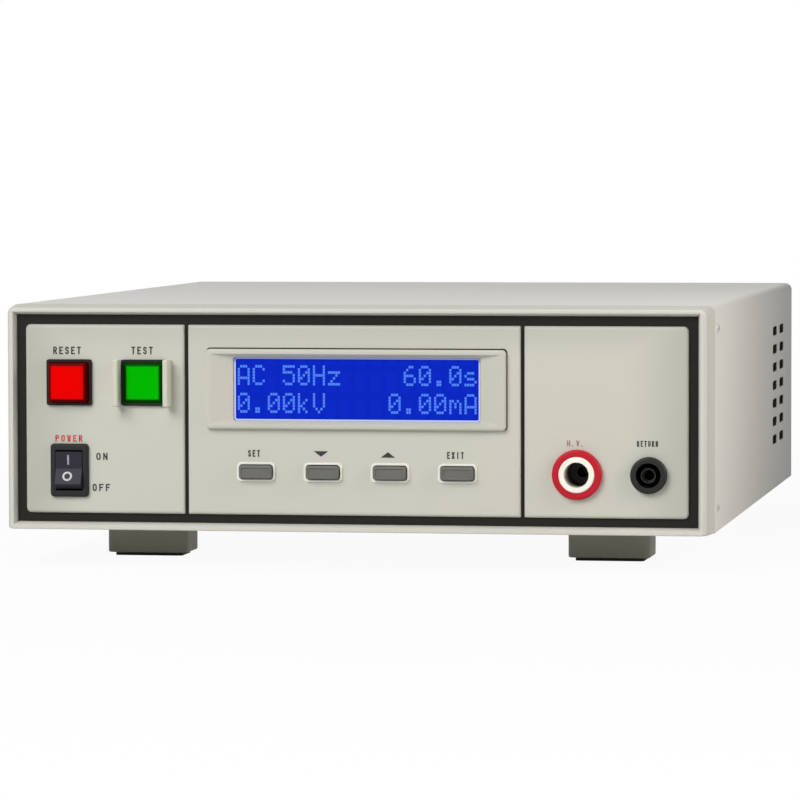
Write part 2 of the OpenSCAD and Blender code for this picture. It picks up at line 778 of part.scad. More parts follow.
// Raised plate of the panel, centred on x, with its own corner radius at each side
module overlay(x, w, left_r, right_r) {
    color([0.77, 0.76, 0.71]) placed() difference() {
        translate([x, 0, panel_z]) hull() for (a = [0, 30, 60, 90]) {
            inset = plate_edge * (1 - sin(a));
            slab(face_y + plate_edge * (1 - cos(a)), panel_y)
                for (s = [-1, 1], c = [[-1, left_r], [1, right_r]]) {
                    r = max(c[1] - inset, 0.1);
                    translate([c[0] * (w / 2 - inset - r), s * (plates_h / 2 - inset - r)])
                        circle(r, $fn = hull_fn);
                }
        }
        slab(face_y - cut, panel_y + cut) {
            front_holes();
            translate([lcd_bezel_x + lcd_bezel_gap / 2, lcd_z + lcd_bezel_gap / 2])
                rounded(lcd_hole_w, lcd_hole_h, lcd_bezel_r);
        }
    }
}
module overlay_left() { overlay(-side_x, side_w, plate_r, plate_inner_r); }
module overlay_centre() { overlay(0, centre_w, plate_inner_r, plate_inner_r); }
module overlay_right() { overlay(side_x, side_w, plate_inner_r, plate_r); }

module lcd_bezel() {
    front = face_y - lcd_bezel_rise;
    color([0.80, 0.79, 0.74]) placed() translate([lcd_x, 0, lcd_z]) difference() {
        translate([lcd_bezel_x - lcd_x, 0, 0])
            pillow(lcd_bezel_w, lcd_bezel_h, lcd_bezel_r, front, panel_y, lcd_rim / 2);
        hull() {
            translate([lcd_bezel_x - lcd_x, 0, 0]) slab(front - cut, front)
                rounded(lcd_bezel_w - 2 * lcd_rim, lcd_bezel_h - 2 * lcd_rim, lcd_bezel_r / 2, $fn = hull_fn);
            slab(face_y - lcd_bezel_rise / 4, face_y) rounded(window_w, window_h, window_r, $fn = hull_fn);
        }
        slab(front, face_y + cut) rounded(window_w, window_h, window_r, $fn = hull_fn);
        slab(face_y, panel_y + cut) cutout([lcd_frame_w, lcd_frame_h]);
    }
}

module lcd_glass() {
    color([0.05, 0.16, 0.82]) placed() translate([lcd_x, 0, lcd_z])
        slab(glass_y, glass_y + glass_t) square([glass_w, glass_h], center = true);
}

module lcd_module() {
    pocket = [glass_w + 2 * cutout_gap, glass_h + 2 * cutout_gap];
    color([0.12, 0.30, 0.16]) placed() translate([lcd_x, 0, lcd_z]) difference() {
        union() {
            slab(lcd_frame_y, lcd_board_y) square([lcd_frame_w, lcd_frame_h], center = true);
            slab(lcd_board_y, lcd_board_y + board_t) square([lcd_board_w, lcd_board_h], center = true);
        }
        slab(lcd_frame_y - cut, glass_y + glass_t) square(pocket, center = true);
    }
}

module front_spacers() {
    color([0.75, 0.72, 0.62]) placed() {
        for (sx = [-1, 1], sz = [-1, 1])
            translate([lcd_x + sx * lcd_spacer_x, 0, lcd_z + sz * lcd_spacer_z])
                rod_y(spacer_r, wall_back, lcd_board_y);
        for (sx = [-1, 1])
            translate([lcd_x + sx * key_spacer_x, 0, row_z]) rod_y(spacer_r, wall_back, key_board_y);
    }
}

module key_rings() {
    color([0.84, 0.83, 0.80]) placed() for (i = [0 : key_count - 1])
        translate([key_x(i), 0, row_z]) difference() {
            union() {
                pillow(key_ring_w, key_ring_h, key_ring_r, face_y - key_ring_rise, face_y, key_ring_rim / 3);
                slab(face_y - cut / 4, wall_back) rounded(key_sleeve_w, key_sleeve_h, key_sleeve_r);
            }
            slab(face_y - key_ring_rise - cut, wall_back + cut) rounded(key_bay_w, key_bay_h, key_bay_r);
        }
}

// Key with its cap, the collar that keeps it in, and the stem over its switch
module key(i) {
    front = face_y - key_rise;
    color([0.45, 0.44, 0.43]) placed() translate([key_x(i), 0, row_z]) {
        difference() {
            pillow(key_w, key_h, key_r, front, face_y, key_edge);
            slab(front - cut, front + key_dish)
                rounded(key_w - 4 * key_edge, key_h - 4 * key_edge, key_r / 2);
        }
        slab(face_y - cut / 2, key_collar_y + key_collar_t) rounded(key_w - 0.6, key_h - 0.6, key_r);
        slab(key_collar_y, key_collar_y + key_collar_t) square([key_w + 2.6, key_h + 2.6], center = true);
        rod_y(key_stem_r, key_collar_y, key_stem_end);
    }
}
module set_key() { key(0); }
module down_key() { key(1); }
module up_key() { key(2); }
module exit_key() { key(3); }

module key_board() {
    color([0.14, 0.36, 0.20]) placed() translate([0, 0, row_z]) {
        translate([lcd_x, 0, 0])
            slab(key_board_y, key_board_y + board_t) square([key_board_w, key_board_h], center = true);
        for (i = [0 : key_count - 1]) translate([key_x(i), 0, 0]) {
            slab(key_board_y - tact_h, key_board_y) square(tact_w, center = true);
            rod_y(1.7, tact_tip_y, key_board_y - tact_h);
        }
    }
}

// Square push-button housing with its flange on the plate
module button_housing(x, flange_w) {
    color([0.10, 0.10, 0.10]) placed() translate([x, 0, button_z]) difference() {
        union() {
            slab(button_front, face_y) rounded(flange_w, button_w, 1);
            slab(face_y, button_end) square(button_body, center = true);
        }
        slab(button_front - cut, cap_floor_y) square(cap_bay, center = true);
        rod_y(plunger_r + run_gap, cap_floor_y - cut, cap_floor_y + plunger_guide);
        rod_y(plunger_r + 1, cap_floor_y + plunger_guide - 0.1, plunger_end + cap_travel + 1);
    }
}
module reset_housing() { button_housing(reset_x, button_w); }
module test_housing() { button_housing(test_x, test_flange_w); }

// Bevelled cap with its skirt and plunger
module button_cap(x, rise, tint) {
    color(tint) placed() translate([x, 0, button_z]) {
        hull() {
            slab(cap_face_y(rise), button_front) rounded(cap_face_w, cap_face_w, 0.8, $fn = hull_fn);
            slab(button_front - rise, button_front) rounded(cap_w, cap_w, 0.8, $fn = hull_fn);
        }
        slab(button_front - rise / 2, face_y + cap_skirt_d) square(cap_w - 0.4, center = true);
        rod_y(plunger_r, face_y, plunger_end);
    }
}
module reset_cap() { button_cap(reset_x, cap_rise, [0.90, 0.03, 0.03]); }
module test_cap() { button_cap(test_x, test_rise, [0.02, 0.66, 0.05]); }

// Guard of the start button: a bar at each side with rolled edges
module test_guard() {
    bar_x = test_flange_w / 2 + run_gap + guard_bar_w / 2;
    front = face_y - guard_rise;
    color([0.78, 0.77, 0.72]) placed() translate([test_x, 0, button_z])
        for (s = [-1, 1])
            translate([s * bar_x, 0, 0])
                pillow(guard_bar_w, button_w + 0.3, guard_bar_w / 4, front, face_y, guard_bar_w / 3);
}

module power_frame() {
    front = face_y - switch_rise;
    color([0.15, 0.16, 0.15]) placed() translate([power_x, 0, row_z]) difference() {
        union() {
            pillow(switch_w, switch_h, 1.4, front, face_y, 0.9);
            slab(face_y, face_y + switch_body_d) square([switch_body_w, switch_body_h], center = true);
        }
        slab(front - cut, pivot_y + rocker_r) square([rocker_bay_w, rocker_bay_h], center = true);
        translate([0, pivot_y, 0]) rod_x(trunnion_r + run_gap, -switch_body_w / 2, switch_body_w / 2);
    }
}

// Rocker in side view about its pivot: two flat faces that meet at an angle, round ends
module rocker_outline() {
    far = rocker_r + cut;
    front_far = -rocker_front - far * tan(rocker_tilt);
    intersection() {
        circle(rocker_r);
        polygon([
            [rocker_rear, -far], [rocker_rear, far],
            [front_far, far], [-rocker_front, 0], [front_far, -far]
        ]);
    }
}

module power_rocker() {
    color([0.19, 0.19, 0.22]) placed() translate([power_x, pivot_y, row_z]) rotate([-rocker_tilt, 0, 0]) {
        across(rocker_w) rocker_outline();
        rod_x(trunnion_r, -trunnion_l, trunnion_l);
    }
}

module power_terminals() {
    back = face_y + switch_body_d;
    color([0.80, 0.78, 0.70]) placed() translate([power_x, 0, row_z])
        for (sx = [-1, 1], sz = [-1, 1])
            translate([sx * switch_body_w / 4, 0, sz * switch_body_h / 4])
                slab(back, back + 9) square([0.8, 4.8], center = true);
}

module hv_flange() {
    color([0.75, 0.10, 0.12]) placed() translate([hv_x, 0, row_z]) turned() {
        bay_r = hv_insulator_r + run_gap;
        flange_section(bay_r, hv_flange_r, hv_front, face_y, 1);
        translate([bay_r, face_y]) square([hv_barrel_r - bay_r, wall_back + nut_t + 2 - face_y]);
    }
}

module hv_insulator() {
    end = face_y + socket_d;
    color([0.95, 0.93, 0.88]) placed() translate([hv_x, 0, row_z]) difference() {
        turned() flange_section(0, hv_insulator_r, hv_tip, end, 0.6);
        rod_y(hv_bore_r, hv_tip - cut, hv_step_y);
        rod_y(hv_contact_r + run_gap, hv_step_y - cut, end + cut);
    }
}

module hv_contact() {
    end = face_y + socket_d + 4;
    color([0.82, 0.68, 0.36]) placed() translate([hv_x, 0, row_z]) difference() {
        rod_y(hv_contact_r, hv_step_y, end);
        rod_y(hv_contact_r - 0.8, hv_step_y - cut, end - 3);
    }
}

module return_body() {
    end = face_y + socket_d - 4;
    color([0.16, 0.16, 0.15]) placed() translate([return_x, 0, row_z]) difference() {
        turned() {
            flange_section(groove_r, return_r, return_front, face_y, 1);
            translate([groove_r, face_y]) square([return_barrel_r - groove_r, end - face_y]);
            translate([0, return_front + 0.5]) square([core_r, end - return_front - 0.5]);
            translate([0, groove_end]) square([return_barrel_r, end - groove_end]);
        }
        rod_y(return_contact_r + run_gap, return_front, end + cut);
    }
}

module return_contact() {
    tip = return_front + 4;
    end = face_y + socket_d + 2;
    color([0.80, 0.76, 0.66]) placed() translate([return_x, 0, row_z]) difference() {
        rod_y(return_contact_r, tip, end);
        rod_y(plug_r, tip - cut, groove_end + 4);
    }
}

module socket_nuts() {
    color([0.70, 0.70, 0.70]) placed() for (s = [[hv_x, hv_barrel_r], [return_x, return_barrel_r]])
        translate([s[0], 0, row_z]) slab(wall_back, wall_back + nut_t) difference() {
            circle(s[1] + 3, $fn = 6);
            circle(s[1] + run_gap);
        }
}

module feet() {
    color([0.34, 0.34, 0.30]) placed() for (s = [-1, 1], y = [foot_y, rear_foot_y])
        translate([s * foot_x, y + foot_d / 2, 0]) difference() {
            hull() {
                translate([0, 0, -foot_h]) linear_extrude(foot_h)
                    rounded(foot_w - 2 * foot_edge, foot_d - 2 * foot_edge, foot_r - foot_edge,
                            $fn = hull_fn);
                translate([0, 0, foot_edge - foot_h]) linear_extrude(foot_h + floor_z - foot_edge)
                    rounded(foot_w, foot_d, foot_r, $fn = hull_fn);
            }
            rod_z(m4[0] + screw_gap, -foot_h - cut, floor_z + cut);
            rod_z(m4[1] + 2 * screw_gap, -foot_h - cut, -foot_h / 2);
        }
}

module foot_pads() {
    color([0.05, 0.05, 0.05]) placed() for (s = [-1, 1], y = [foot_y, rear_foot_y])
        translate([s * foot_x, y + foot_d / 2, -ground])
            linear_extrude(pad_t) rounded(foot_w - 2 * pad_in, foot_d - 2 * pad_in, foot_r - pad_in / 2);
}

module case_screws() {
    color([0.74, 0.74, 0.73]) placed() {
        for (s = [-1, 1], z = side_screws)
            translate([s * half_w, side_screw_y, z]) rotate([0, s * 90, 0]) screw(m3, sheet_t + tab_t);
        for (s = [-1, 1], y = cover_screws)
            translate([s * cover_screw_x, y, 0]) rotate([180, 0, 0]) screw(m3, floor_top + 2);
        for (s = [-1, 1], y = [foot_y, rear_foot_y])
            translate([s * foot_x, y + foot_d / 2, -foot_h / 2])
                rotate([180, 0, 0]) screw(m4, foot_h / 2 + floor_top - pocket_gap);
        for (x = rear_screws)
            translate([x, rear_y, rear_screw_z]) rotate([-90, 0, 0]) screw(m3, rear_t + sheet_t + 2);
        for (sx = [-1, 1], sz = [-1, 1])
            translate([fan_x + sx * fan_pitch / 2, rear_y + guard_t, fan_z + sz * fan_pitch / 2])
                rotate([-90, 0, 0]) screw(m4, guard_t + rear_t + 8);
        for (s = [-1, 1])
            translate([inlet_x + s * inlet_screw, rear_y + inlet_flange[2], lower_z])
                rotate([-90, 0, 0]) screw(m3, inlet_flange[2] + rear_t + 3);
    }
}

// Laminated core with two windows round its middle leg
module hv_core() {
    color([0.36, 0.37, 0.39]) placed() translate([hv_tx, hv_ty, floor_top + hv_core_h / 2])
        slab(-hv_core_d / 2, hv_core_d / 2) difference() {
            square([hv_core_w, hv_core_h], center = true);
            for (s = [-1, 1])
                translate([s * (hv_leg + hv_win_w) / 2, 0]) square([hv_win_w, hv_win_h], center = true);
        }
}

// Plan outline of a turn of the winding at a distance from the middle leg
module turn_outline(away) {
    square([hv_leg + 2 * away, hv_core_d + 2 * away], center = true);
}

module hv_bobbin() {
    wall = bobbin_t + cutout_gap;
    color([0.86, 0.84, 0.76]) placed() translate([hv_tx, hv_ty, floor_top + hv_core_h / 2]) difference() {
        union() {
            linear_extrude(hv_win_h - 2 * cutout_gap, center = true) turn_outline(wall);
            for (s = [-1, 1])
                translate([0, 0, s * (hv_win_h / 2 - cutout_gap - bobbin_t / 2)])
                    linear_extrude(bobbin_t, center = true) turn_outline(hv_win_w - cutout_gap);
        }
        linear_extrude(hv_core_h, center = true) turn_outline(cutout_gap);
    }
}

module hv_winding() {
    coil_h = hv_win_h - 2 * bobbin_t - 4 * cutout_gap;
    color([0.80, 0.62, 0.20]) placed() translate([hv_tx, hv_ty, floor_top + hv_core_h / 2])
        linear_extrude(coil_h, center = true) difference() {
            rounded(hv_leg + 2 * hv_win_w - 1, hv_core_d + 2 * hv_win_w - 1, 4);
            turn_outline(bobbin_t + 2 * cutout_gap);
        }
}

// Strap over the core with a foot at each side
module hv_bracket() {
    inner = hv_core_w / 2 + cutout_gap;
    top = floor_top + hv_core_h + cutout_gap;
    color([0.62, 0.63, 0.65]) placed() translate([hv_tx, hv_ty, 0])
        slab(-hv_core_d / 4, hv_core_d / 4) {
            translate([-inner - strap_t, top]) square([2 * (inner + strap_t), strap_t]);
            for (s = [-1, 1]) {
                translate([s * (inner + strap_t / 2), (floor_top + top + strap_t) / 2])
                    square([strap_t, top + strap_t - floor_top], center = true);
                translate([s * (inner + strap_foot / 2), floor_top + strap_t / 2])
                    square([strap_foot, strap_t], center = true);
            }
        }
}

module toroid_winding() {
    mid_z = floor_top + toroid_pad_t + toroid_h / 2;
    color([0.78, 0.55, 0.22]) placed() translate([toroid_x, toroid_y, mid_z]) rotate_extrude()
        translate([(toroid_hole_r + toroid_r) / 2, 0]) rounded(toroid_r - toroid_hole_r, toroid_h, 6);
}

module toroid_pads() {
    r = toroid_r - 7;
    color([0.08, 0.08, 0.08]) placed() translate([toroid_x, toroid_y, floor_top])
        for (z = [0, toroid_pad_t + toroid_h])
            translate([0, 0, z]) difference() {
                cylinder(r = r, h = toroid_pad_t);
                rod_z(toroid_bolt_r + 1, -cut, toroid_pad_t + cut);
            }
}

module toroid_plate() {
    color([0.66, 0.67, 0.68]) placed() translate([toroid_x, toroid_y, 0]) difference() {
        rod_z(toroid_r - 10, toroid_top - toroid_plate_t, toroid_top);
        rod_z(toroid_bolt_r + screw_gap, toroid_top - toroid_plate_t - cut, toroid_top + cut);
    }
}

module toroid_bolt() {
    color([0.76, 0.75, 0.70]) placed() translate([toroid_x, toroid_y, 0]) {
        rod_z(toroid_bolt_r, floor_top, toroid_top + 8);
        translate([0, 0, toroid_top]) cylinder(r = 2 * toroid_bolt_r, h = 5, $fn = 6);
    }
}

// Finned extrusion that lies on the chassis floor, with its fins along the air stream
module heat_sink() {
    fin_pitch = (sink_w - fin_t) / (sink_fins - 1);
    color([0.55, 0.56, 0.58]) placed() translate([sink_x, 0, floor_top])
        slab(sink_y - sink_l / 2, sink_y + sink_l / 2) {
            translate([-sink_w / 2, 0]) square([sink_w, sink_base]);
            for (i = [0 : sink_fins - 1])
                translate([-sink_w / 2 + i * fin_pitch, 0]) square([fin_t, sink_h]);
        }
}

module amp_board() {
    color([0.14, 0.36, 0.20]) placed() translate([amp_x, sink_y, board_z]) {
        translate([-amp_w / 2, -sink_l / 2, 0]) cube([amp_w, sink_l, board_t]);
        for (i = [-1 : 1])
            translate([0, i * sink_l / 3, board_t]) cylinder(r = 11, h = 28);
    }
}

module main_board() {
    color([0.14, 0.36, 0.20]) placed() translate([main_x, main_y, board_z])
        translate([-main_board_w / 2, -main_board_d / 2, 0]) cube([main_board_w, main_board_d, board_t]);
}

// Capacitors, relays, chips and the display header, all standing on the main board
module board_parts() {
    color([0.13, 0.13, 0.15]) placed() translate([0, 0, board_top]) {
        translate([main_x, main_y, 0]) {
            for (i = [-1.5 : 1.5])
                translate([i * main_board_w / 6, main_board_d / 3, 0]) cylinder(r = 9, h = 26);
            for (i = [-1 : 1])
                translate([i * main_board_w / 5 - 11, -8, 0]) cube([22, 16, 16]);
            for (i = [-1, 0])
                translate([(i - 0.2) * main_board_w / 4, -main_board_d / 4 - 10, 0]) cube([28, 20, 3]);
        }
        translate([lcd_x - ribbon_w / 2 - 2, ribbon_drop_y - 4, 0]) cube([ribbon_w + 4, 8, header_h]);
    }
}

// Four standoffs under the corners of a board centred on x, y
module standoff_set(x, y, w, d) {
    for (sx = [-1, 1], sy = [-1, 1])
        translate([x + sx * (w / 2 - standoff_in), y + sy * (d / 2 - standoff_in), 0])
            rod_z(standoff_r, floor_top, board_z);
}

module board_standoffs() {
    color([0.75, 0.72, 0.62]) placed() {
        standoff_set(main_x, main_y, main_board_w, main_board_d);
        standoff_set(amp_x, sink_y, amp_w, sink_l);
    }
}

// Flat cable from the back of the display, over a bend, down to the main board's header
module display_ribbon() {
    bottom = board_top + header_h;
    bend_z = ribbon_z + ribbon_t - ribbon_r;
    color([0.55, 0.57, 0.60]) placed() translate([lcd_x, 0, 0]) across(ribbon_w) {
        translate([ribbon_y, ribbon_z]) square([ribbon_drop_y - ribbon_r - ribbon_y, ribbon_t]);
        translate([ribbon_drop_y - ribbon_t, bottom]) square([ribbon_t, bend_z - bottom]);
        translate([ribbon_drop_y - ribbon_r, bend_z]) intersection() {
            difference() {
                circle(ribbon_r);
                circle(ribbon_r - ribbon_t);
            }
            square(ribbon_r);
        }
    }
}

// Fan frame with a waist between its two flanges, and the motor base on four struts
module fan_frame() {
    waist = 4;
    base_y = rear_in - fan_base_t;
    color([0.10, 0.10, 0.11]) placed() translate([fan_x, 0, fan_z]) difference() {
        union() {
            difference() {
                slab(fan_in, rear_in) rounded(fan_w, fan_w, 4);
                slab(fan_in + waist, rear_in - waist) difference() {
                    square(fan_w + 2 * cut, center = true);
                    circle(fan_bore_r + 1.5);
                }
                rod_y(fan_bore_r, fan_in - cut, rear_in + cut);
            }
            rod_y(fan_hub_r, base_y, rear_in);
            rod_y(4, rotor_y + 8, rear_in);
            for (a = [0 : 90 : 270])
                rotate([0, a + 45, 0])
                    block([fan_hub_r - cut, base_y, -1.5], [fan_bore_r + cut, rear_in, 1.5]);
        }
        rod_y(fan_shaft_r + run_gap, rotor_y, rear_in - 1);
        for (sx = [-1, 1], sz = [-1, 1])
            translate([sx * fan_pitch / 2, 0, sz * fan_pitch / 2])
                rod_y(m4[0] + screw_gap, fan_in - cut, rear_in + cut);
    }
}

// Hub with its shaft, and blades that twist along the axis
module fan_rotor() {
    hub_wall = 2;
    blade_t = 1.2;
    blade_l = rotor_end - rotor_y - 2;
    color([0.16, 0.16, 0.17]) placed() translate([fan_x, 0, fan_z]) {
        turned() {
            translate([0, rotor_y]) square([fan_hub_r, hub_wall]);
            translate([fan_hub_r - hub_wall, rotor_y]) square([hub_wall, rotor_end - rotor_y]);
            translate([0, rotor_y]) square([fan_shaft_r, rear_in - 2 - rotor_y]);
        }
        for (i = [0 : fan_blades - 1])
            rotate([0, i * 360 / fan_blades, 0]) translate([0, rotor_y + 1, 0]) rotate([-90, 0, 0])
                linear_extrude(blade_l, twist = 38, slices = 6, segments = 8)
                    translate([fan_hub_r - hub_wall / 2, -blade_t / 2])
                        square([fan_tip_r - fan_hub_r + hub_wall / 2, blade_t]);
    }
}

// Stamped finger guard: rings on two crossed bars, with a lug at each screw
module fan_guard() {
    ring_w = 1.8;
    color([0.72, 0.72, 0.72]) placed() translate([fan_x, 0, fan_z])
        slab(rear_y, rear_y + guard_t) difference() {
            union() {
                circle(7);
                for (r = [12.5 : 5.2 : fan_bore_r])
                    difference() {
                        circle(r);
                        circle(r - ring_w);
                    }
                for (a = [45, 135])
                    rotate(a) square([fan_pitch * sqrt(2), 2.4], center = true);
                for (sx = [-1, 1], sz = [-1, 1])
                    translate([sx * fan_pitch / 2, sz * fan_pitch / 2]) circle(4.2);
            }
            for (sx = [-1, 1], sz = [-1, 1])
                translate([sx * fan_pitch / 2, sz * fan_pitch / 2]) circle(m4[0] + screw_gap);
        }
}

// Outline of the inlet's bay: two corners are cut off beside the earth pin
module inlet_outline() {
    w = inlet_bay[0] / 2;
    h = inlet_bay[1] / 2;
    c = inlet_chamfer;
    polygon([[-w, -h], [w, -h], [w, h - c], [w - c, h], [c - w, h], [-w, h - c]]);
}

module iec_inlet() {
    color([0.09, 0.09, 0.09]) placed() translate([inlet_x, 0, lower_z]) difference() {
        union() {
            slab(rear_y, rear_y + inlet_flange[2]) rounded(inlet_flange[0], inlet_flange[1], 5);
            slab(inlet_end, rear_y) square(inlet_body, center = true);
        }
        slab(inlet_floor_y, rear_y + inlet_flange[2] + cut) inlet_outline();
        for (p = inlet_pins_at)
            translate([p[0], 0, p[1]]) slab(inlet_end - cut, inlet_floor_y + cut)
                square([inlet_pin[0] + 2 * run_gap, inlet_pin[1] + 2 * run_gap], center = true);
        for (s = [-1, 1])
            translate([s * inlet_screw, 0, 0])
                rod_y(m3[0] + screw_gap, rear_y - cut, rear_y + inlet_flange[2] + cut);
    }
}

module inlet_pins() {
    color([0.82, 0.80, 0.74]) placed() for (p = inlet_pins_at)
        translate([inlet_x + p[0], 0, lower_z + p[1]])
            slab(inlet_end - 8, inlet_pin_tip) square(inlet_pin, center = true);
}

module fuse_holder() {
    color([0.10, 0.10, 0.10]) placed() translate([fuse_x, 0, lower_z]) difference() {
        union() {
            rod_y(fuse_body_r, fuse_end, rear_y);
            rod_y(fuse_body_r + 2.5, rear_y, rear_y + fuse_flange_t);
            slab(rear_in - 4, rear_in) circle(fuse_body_r + 3, $fn = 6);
        }
        rod_y(fuse_bay_r + run_gap, rear_in - 22, rear_y + fuse_flange_t + cut);
    }
}

// Screwdriver-slot cap that turns in the fuse holder
module fuse_cap() {
    seat = rear_y + fuse_flange_t + pocket_gap;
    grips = 12;
    color([0.13, 0.13, 0.13]) placed() translate([fuse_x, 0, lower_z]) difference() {
        union() {
            rod_y(fuse_bay_r, rear_in - 20, seat);
            rod_y(fuse_body_r + 0.8, seat, seat + fuse_head_l);
        }
        for (i = [0 : grips - 1])
            rotate([0, i * 360 / grips, 0]) translate([fuse_body_r + 1.4, 0, 0])
                rod_y(1, seat + 1, seat + fuse_head_l + cut);
        block([-5, seat + fuse_head_l - 2, -0.6], [5, seat + fuse_head_l + cut, 0.6]);
    }
}

// Nine-way remote ports: plate, tapered shell, body and two posts each
module remote_ports() {
    shell = [17, 15.2, 8.4];
    color([0.70, 0.70, 0.69]) placed() for (z = [lower_z, upper_z])
        translate([port_x, 0, z]) {
            slab(rear_y, rear_y + port_plate[2]) rounded(port_plate[0], port_plate[1], 1.5);
            slab(rear_in - 8, rear_y) square(port_body, center = true);
            slab(rear_y, rear_y + 6)
                polygon([
                    [-shell[1] / 2, -shell[2] / 2], [shell[1] / 2, -shell[2] / 2],
                    [shell[0] / 2, shell[2] / 2], [-shell[0] / 2, shell[2] / 2]
                ]);
            for (s = [-1, 1])
                translate([s * port_posts, 0, 0]) slab(rear_y, rear_y + 5.5) circle(2.6, $fn = 6);
        }
}

module ground_stud() {
    color([0.83, 0.75, 0.48]) placed() translate([fuse_x, 0, upper_z]) {
        rod_y(stud_r, rear_in - 7, rear_y + stud_l);
        slab(rear_in - 4, rear_in) circle(4.2, $fn = 6);
        rod_y(4.8, rear_y, rear_y + 0.8);
        slab(rear_y + 0.8, rear_y + 4) circle(4.2, $fn = 6);
        slab(rear_y + 6, rear_y + 9.2) circle(4.2, $fn = 6);
    }
}

top_cover();
bottom_chassis();
rear_panel();
front_bezel();
front_subpanel();
overlay_left();
overlay_centre();
overlay_right();
lcd_bezel();
lcd_glass();
lcd_module();
front_spacers();
key_rings();
set_key();
down_key();
up_key();
exit_key();
key_board();
reset_housing();
reset_cap();
test_housing();
test_cap();
test_guard();
power_frame();
power_rocker();
power_terminals();
hv_flange();
hv_insulator();
hv_contact();
return_body();
return_contact();
socket_nuts();
feet();
foot_pads();
case_screws();
hv_core();
hv_bobbin();
hv_winding();
hv_bracket();
toroid_winding();
toroid_pads();
toroid_plate();
toroid_bolt();
heat_sink();
amp_board();
main_board();
board_parts();
board_standoffs();
display_ribbon();
fan_frame();
fan_rotor();
fan_guard();
iec_inlet();
inlet_pins();
fuse_holder();
fuse_cap();
remote_ports();
ground_stud();
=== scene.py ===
"""Finishes, legends, small fittings and stage of a bench withstand-voltage tester."""

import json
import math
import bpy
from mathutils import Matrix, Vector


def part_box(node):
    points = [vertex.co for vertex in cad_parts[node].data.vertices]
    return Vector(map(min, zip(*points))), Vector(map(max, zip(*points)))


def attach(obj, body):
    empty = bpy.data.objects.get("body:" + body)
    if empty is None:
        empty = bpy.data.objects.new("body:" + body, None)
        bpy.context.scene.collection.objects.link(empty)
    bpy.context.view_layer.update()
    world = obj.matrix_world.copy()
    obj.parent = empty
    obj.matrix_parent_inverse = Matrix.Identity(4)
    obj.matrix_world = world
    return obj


bl_info = {
    "name": "Bench withstand tester",
    "version": (1, 0, 0),
    "blender": (4, 5, 0),
    "location": "View3D > Sidebar > Tester",
    "description": "Finishes, legends, small fittings and stage of a bench withstand tester",
    "category": "Object",
}

import bmesh
import bpy
import numpy as np
from bpy.props import FloatProperty, FloatVectorProperty, PointerProperty, StringProperty
from mathutils import Matrix, Vector

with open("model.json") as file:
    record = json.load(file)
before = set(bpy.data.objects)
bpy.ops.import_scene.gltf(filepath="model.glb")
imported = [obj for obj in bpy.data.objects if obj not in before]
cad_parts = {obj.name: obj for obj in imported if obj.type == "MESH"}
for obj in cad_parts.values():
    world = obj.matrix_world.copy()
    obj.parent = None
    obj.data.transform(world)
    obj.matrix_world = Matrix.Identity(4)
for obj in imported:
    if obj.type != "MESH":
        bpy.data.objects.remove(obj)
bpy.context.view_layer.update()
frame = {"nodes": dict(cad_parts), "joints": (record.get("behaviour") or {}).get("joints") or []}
MM = 0.001
WHITE = (1.0, 1.0, 1.0)
EVEN = (1.0, 1.0, 1.0)  # stretch of a texture that is alike every way
UP = (0.0, 0.0, 1.0)


# ---- settings


def srgb(red, green, blue):
    """Linear colour of a screen colour: the usual curve with a straight foot, on values of 0 to 255."""
    screen = np.array([red, green, blue]) / 255.0
    linear = np.where(screen <= 0.04045, screen / 12.92, ((screen + 0.055) / 1.055) ** 2.4)
    return tuple(float(part) for part in linear)


def tint(label, about, rgb):
    """Colour property from a screen colour."""
    return FloatVectorProperty(
        name=label, description=about, subtype="COLOR", size=3, min=0.0, max=1.0, default=srgb(*rgb)
    )


def number(label, about, default, **more):
    """Plain value property."""
    return FloatProperty(name=label, description=about, default=default, **more)


def size(label, about, millimetres):
    """Length property from millimetres."""
    return number(label, about, millimetres * MM, unit="LENGTH", min=0.0, precision=5)


class CaseSettings(bpy.types.PropertyGroup):
    """Colours of the case"""

    cover: tint("Cover", "Paint of the bent sheet cover", (209, 207, 203))
    bezel: tint("Bezel", "Plastic of the frame round the front", (189, 187, 180))
    rear: tint("Rear panel", "Paint of the rear panel", (196, 194, 188))
    chassis: tint("Chassis", "Zinc plating of the chassis tray", (176, 178, 180))
    foot: tint("Foot", "Plastic of the feet", (164, 162, 145))
    pad: tint("Pad", "Rubber under the feet", (26, 26, 25))
    grain: size("Grain", "Size of the paint's texture", 0.55)


class FrontSettings(bpy.types.PropertyGroup):
    """Colours of the front panel and its controls"""

    panel: tint("Sub-panel", "Black plate behind the three front plates", (35, 34, 31))
    plate: tint("Plates", "Satin film of the three front plates", (203, 203, 192))
    frame: tint("Display frame", "Plastic of the display's raised frame", (200, 199, 188))
    ring: tint("Key rings", "Plastic of the rings round the keys", (240, 238, 230))
    key: tint("Keys", "Plastic of the four keys", (101, 101, 97))
    reset: tint("Reset cap", "Lens of the reset button", (232, 0, 0))
    test: tint("Test cap", "Lens of the test button", (0, 182, 0))
    housing: tint("Housing", "Plastic of the button housings", (27, 26, 25))
    guard: tint("Guard", "Plastic of the bars beside the test button", (208, 207, 193))
    switch: tint("Switch frame", "Plastic of the power switch's frame", (43, 44, 45))
    rocker: tint("Rocker", "Plastic of the power rocker", (42, 42, 52))
    flange: tint("High-voltage flange", "Ring of the high-voltage socket", (188, 30, 46))
    insulator: tint("Insulator", "Insulator of the high-voltage socket", (250, 246, 235))
    socket: tint("Return socket", "Plastic of the return socket", (34, 35, 33))


